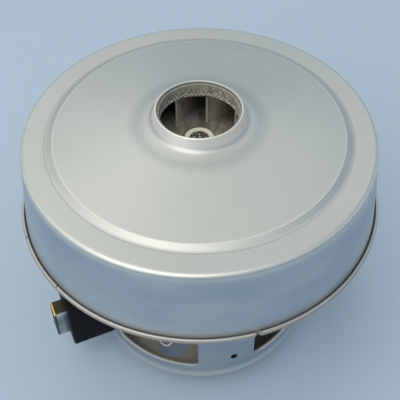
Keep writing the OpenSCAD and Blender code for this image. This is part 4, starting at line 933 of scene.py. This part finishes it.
def field_coil():
    """Loops of wire round the pole on +Y. A loop runs along an arc under the core, up a leg, back along an
    arc over it and down. Loops further from the core have their legs further from the pole."""
    layers, columns, wire, slack, margin, rounding = 6, 7, 0.45, 0.06, 0.46, 1.6
    layer, column = pairs(layers, columns)
    r = COIL_R0 + margin + column * 0.88 + chance.normal(0, slack, layer.shape)
    low = COIL_Z0 + margin + layer * 0.9 + chance.normal(0, slack, layer.shape)
    high = COIL_Z0 + COIL_Z1 - low
    start = np.radians(7.2 + layer * 9.4)
    f, climb = np.linspace(0, 1, 72), np.linspace(0, 1, 14)
    across = start + (np.pi - 2 * start) * f
    round_off = 1.4 * np.clip(1 - np.minimum(f, 1 - f) / 0.03, 0, 1) ** 2
    leg = (high - low - 2 * rounding) * climb
    angle = np.hstack([across, np.pi - start + 0 * climb, across[:, ::-1], start + 0 * climb])
    height = np.hstack([low + round_off, low + rounding + leg, high - round_off, high - rounding - leg])
    sway = 0.10 * np.sin(5 * angle + 7 * column + 3 * layer)
    return tubes(polar(r + sway, angle, height), polar(1, angle, 0), wire, 6, closed=True), layer.size


def armature_winding():
    """Loops of wire in the rotor's slots. A head swings from one slot to the fifth next, drawn in towards the
    shaft by a sine and stacked by the loop's turn. Straight legs join the heads."""
    slots, strands, wire, slot_r, inner_r = 12, 7, 0.42, 15.6, 8.6
    loop, strand = pairs(slots, strands)
    f = np.linspace(0, 1, 34)
    bow = np.sin(np.pi * f)
    start, swing = np.radians(15 + 30 * loop) + (strand % 3 - 1) * 0.05, np.radians(150)
    out = slot_r - strand * 0.42
    radius = out - (out - inner_r - (strand % 4) * 0.75) * bow**0.8
    drop = 0.5 + (loop % 6) * 0.72 + (strand % 3) * 0.35
    lower = STACK_Z0 - drop * bow**0.45
    angle = start + swing * f
    angles = np.hstack([angle, angle[:, ::-1]])
    radii = np.hstack([radius, radius[:, ::-1]])
    heights = np.hstack([lower, STACK_Z0 + STACK_Z1 - lower[:, ::-1]])
    return tubes(polar(radii, angles, heights), polar(1, angles, 0.3), wire, 6, closed=True), loop.size


for name, degrees in (("rear", 0), ("front", 180)):
    shape, strands = field_coil()
    piece("wound_field_" + name, turned(shape, degrees), "copper_wire", ["field_coil_" + name], sharp=80,
          strands=strands)
shape, strands = armature_winding()
piece("wound_armature", shape, "copper_wire", ["rotor_winding"], "rotor", sharp=80, strands=strands)


# Nuts and screws

def hex_nut(flats, bore, height):
    """A six-sided ring: its radius follows the flats, and past the chamfer's circle both faces fall away at
    30 degrees. The bore is a radius."""
    a = np.linspace(0, TURN, 96, endpoint=False)
    edge = flats / 2 / np.cos((a + TURN / 12) % (TURN / 6) - TURN / 12)
    ring, ease = flats / 2 * 0.96, 0.3
    fall = (edge - ring) * math.tan(math.radians(30))
    lower = [(bore, ease), (bore + ease, 0.0), (ring, 0.0), (edge, fall)]
    rows = lower + [(r, height - z) for r, z in reversed(lower)]
    return skin(np.stack([polar(r, a, z) for r, z in rows]), wrap_rows=True)


NUT_H, TRAY_SCREW_Z, FAN_NUT_Z = 3.2, 74.5, 93.6
tray_nut = moved(hex_nut(flats=7.0, bore=1.92, height=NUT_H), [TRAY_SCREW_R, 0, TRAY_Z - NUT_H])
tray_screw = moved(cross_screw(head_r=3.6, head_h=2.2, shank_r=1.9, length=7.2, recess=2.2),
                   [TRAY_SCREW_R, 0, TRAY_SCREW_Z])
fan_nut = moved(hex_nut(flats=11.7, bore=3.32, height=6.0), [0, 0, FAN_NUT_Z])
piece("fan_nut", fan_nut, "hub_metal", ["impeller_nut"], "rotor", sharp=25)
piece("tray_nuts", at_corners(tray_nut), "screw_steel", ["bracket_nuts"], sharp=25)
piece("tray_screws", at_corners(tray_screw), "screw_steel", ["bracket_screws"])


# Floor, light and camera

def flat(name, half, finish):
    """A square on the ground, half its width to each side."""
    mesh = bpy.data.meshes.new(name)
    corners = [(-half, -half, 0), (half, -half, 0), (half, half, 0), (-half, half, 0)]
    mesh.from_pydata(corners, [], [(0, 1, 2, 3)])
    mesh.materials.append(finish)
    return placed(name, mesh)


def pale_floor():
    """Pale blue paper with hardly any shine."""
    f = Finish("pale_floor")
    tone = f.mix(f.noise(3.0, 2), (0.49, 0.60, 0.74), (0.51, 0.62, 0.76))
    return f.shade(tone, 0.9, **{"Specular IOR Level": 0.1})


flat("floor", 3.0, pale_floor())


def soft_box(name, place, target, size, power):
    """A warm round lamp at a place in metres, turned to a target."""
    lamp = bpy.data.lights.new(name, "AREA")
    lamp.shape, lamp.size, lamp.energy, lamp.color = "DISK", size, power, (1.0, 0.96, 0.89)
    made = placed(name, lamp)
    made.location = place
    made.rotation_euler = (Vector(target) - Vector(place)).to_track_quat("-Z", "Y").to_euler()


CAMERA_SIDE, CAMERA_TILT, CAMERA_ROLL = math.radians(-22.8), math.radians(44.968), math.radians(-0.6)
CAMERA_AIM, CAMERA_REACH = Vector((0, 0, 0.09059)), 0.28095
ROOM_LEVEL, ROOM_DIM, ROOM_DIM_FROM = 1.25, 0.45, -0.7
ROOM_TONES = ((0.0, (0.36, 0.40, 0.43)), (0.46, (0.22, 0.30, 0.36)), (0.63, (0.65, 0.69, 0.67)),
              (0.78, (0.59, 0.62, 0.60)), (0.90, (0.41, 0.435, 0.415)), (1.0, (0.84, 0.835, 0.79)))
soft_box("key", place=(-0.62, -0.46, 1.08), target=(0, 0, 0.08), size=1.3, power=4.3)
soft_box("back_left", place=(-0.036, 0.70, 0.97), target=(0, 0, 0.1), size=0.25, power=0.18)
soft_box("back_right", place=(0.65, 0.56, 0.835), target=(0, 0, 0.1), size=0.25, power=0.14)
soft_box("fill", place=(-1.0, -0.45, 0.30), target=(0, 0, 0.05), size=1.1, power=1.3)


def studio():
    """A room of tones by height, pale overhead and slate blue at the horizon. The height that picks a tone
    falls towards the camera's right, so the room is darker there. Seen past the floor, it is white."""
    world = bpy.data.worlds.new("studio")
    world.use_nodes = True
    room, back = Nodes(world.node_tree), world.node_tree.nodes["Background"]
    spot = room.node("ShaderNodeTexCoord", out="Generated")
    height = room.node("ShaderNodeSeparateXYZ", {0: spot}, out=2)
    to_right = (math.cos(CAMERA_SIDE), math.sin(CAMERA_SIDE), 0.0)
    right = room.node("ShaderNodeVectorMath", {0: spot, 1: to_right}, out="Value", operation="DOT_PRODUCT")
    dim = room.node("ShaderNodeMath", {0: right, 1: ROOM_DIM_FROM}, operation="MAXIMUM") * ROOM_DIM
    tone = room.node("ShaderNodeValToRGB", {0: height - dim}, stops=ROOM_TONES)
    seen = room.node("ShaderNodeLightPath", out="Is Camera Ray")
    room.feed(back.inputs["Color"], room.mix(seen, tone, (1 / ROOM_LEVEL,) * 3))
    room.feed(back.inputs["Strength"], ROOM_LEVEL)
    bpy.context.scene.world = world


studio()

lens = bpy.data.cameras.new("photo_view")
lens.lens, lens.sensor_width, lens.shift_x, lens.shift_y = 69.04, 36.0, 0.0014, -0.1117
lens.clip_start, lens.clip_end = 0.01, 20.0
camera = placed("photo_view", lens)
ground = math.cos(CAMERA_TILT)
away = Vector((ground * math.sin(CAMERA_SIDE), -ground * math.cos(CAMERA_SIDE), math.sin(CAMERA_TILT)))
camera.location = CAMERA_AIM + away * CAMERA_REACH
level = (-away).to_track_quat("-Z", "Y")
camera.rotation_euler = (level @ Quaternion((0, 0, 1), CAMERA_ROLL)).to_euler()
bpy.context.scene.camera = camera
bpy.context.scene.view_settings.view_transform = "Standard"
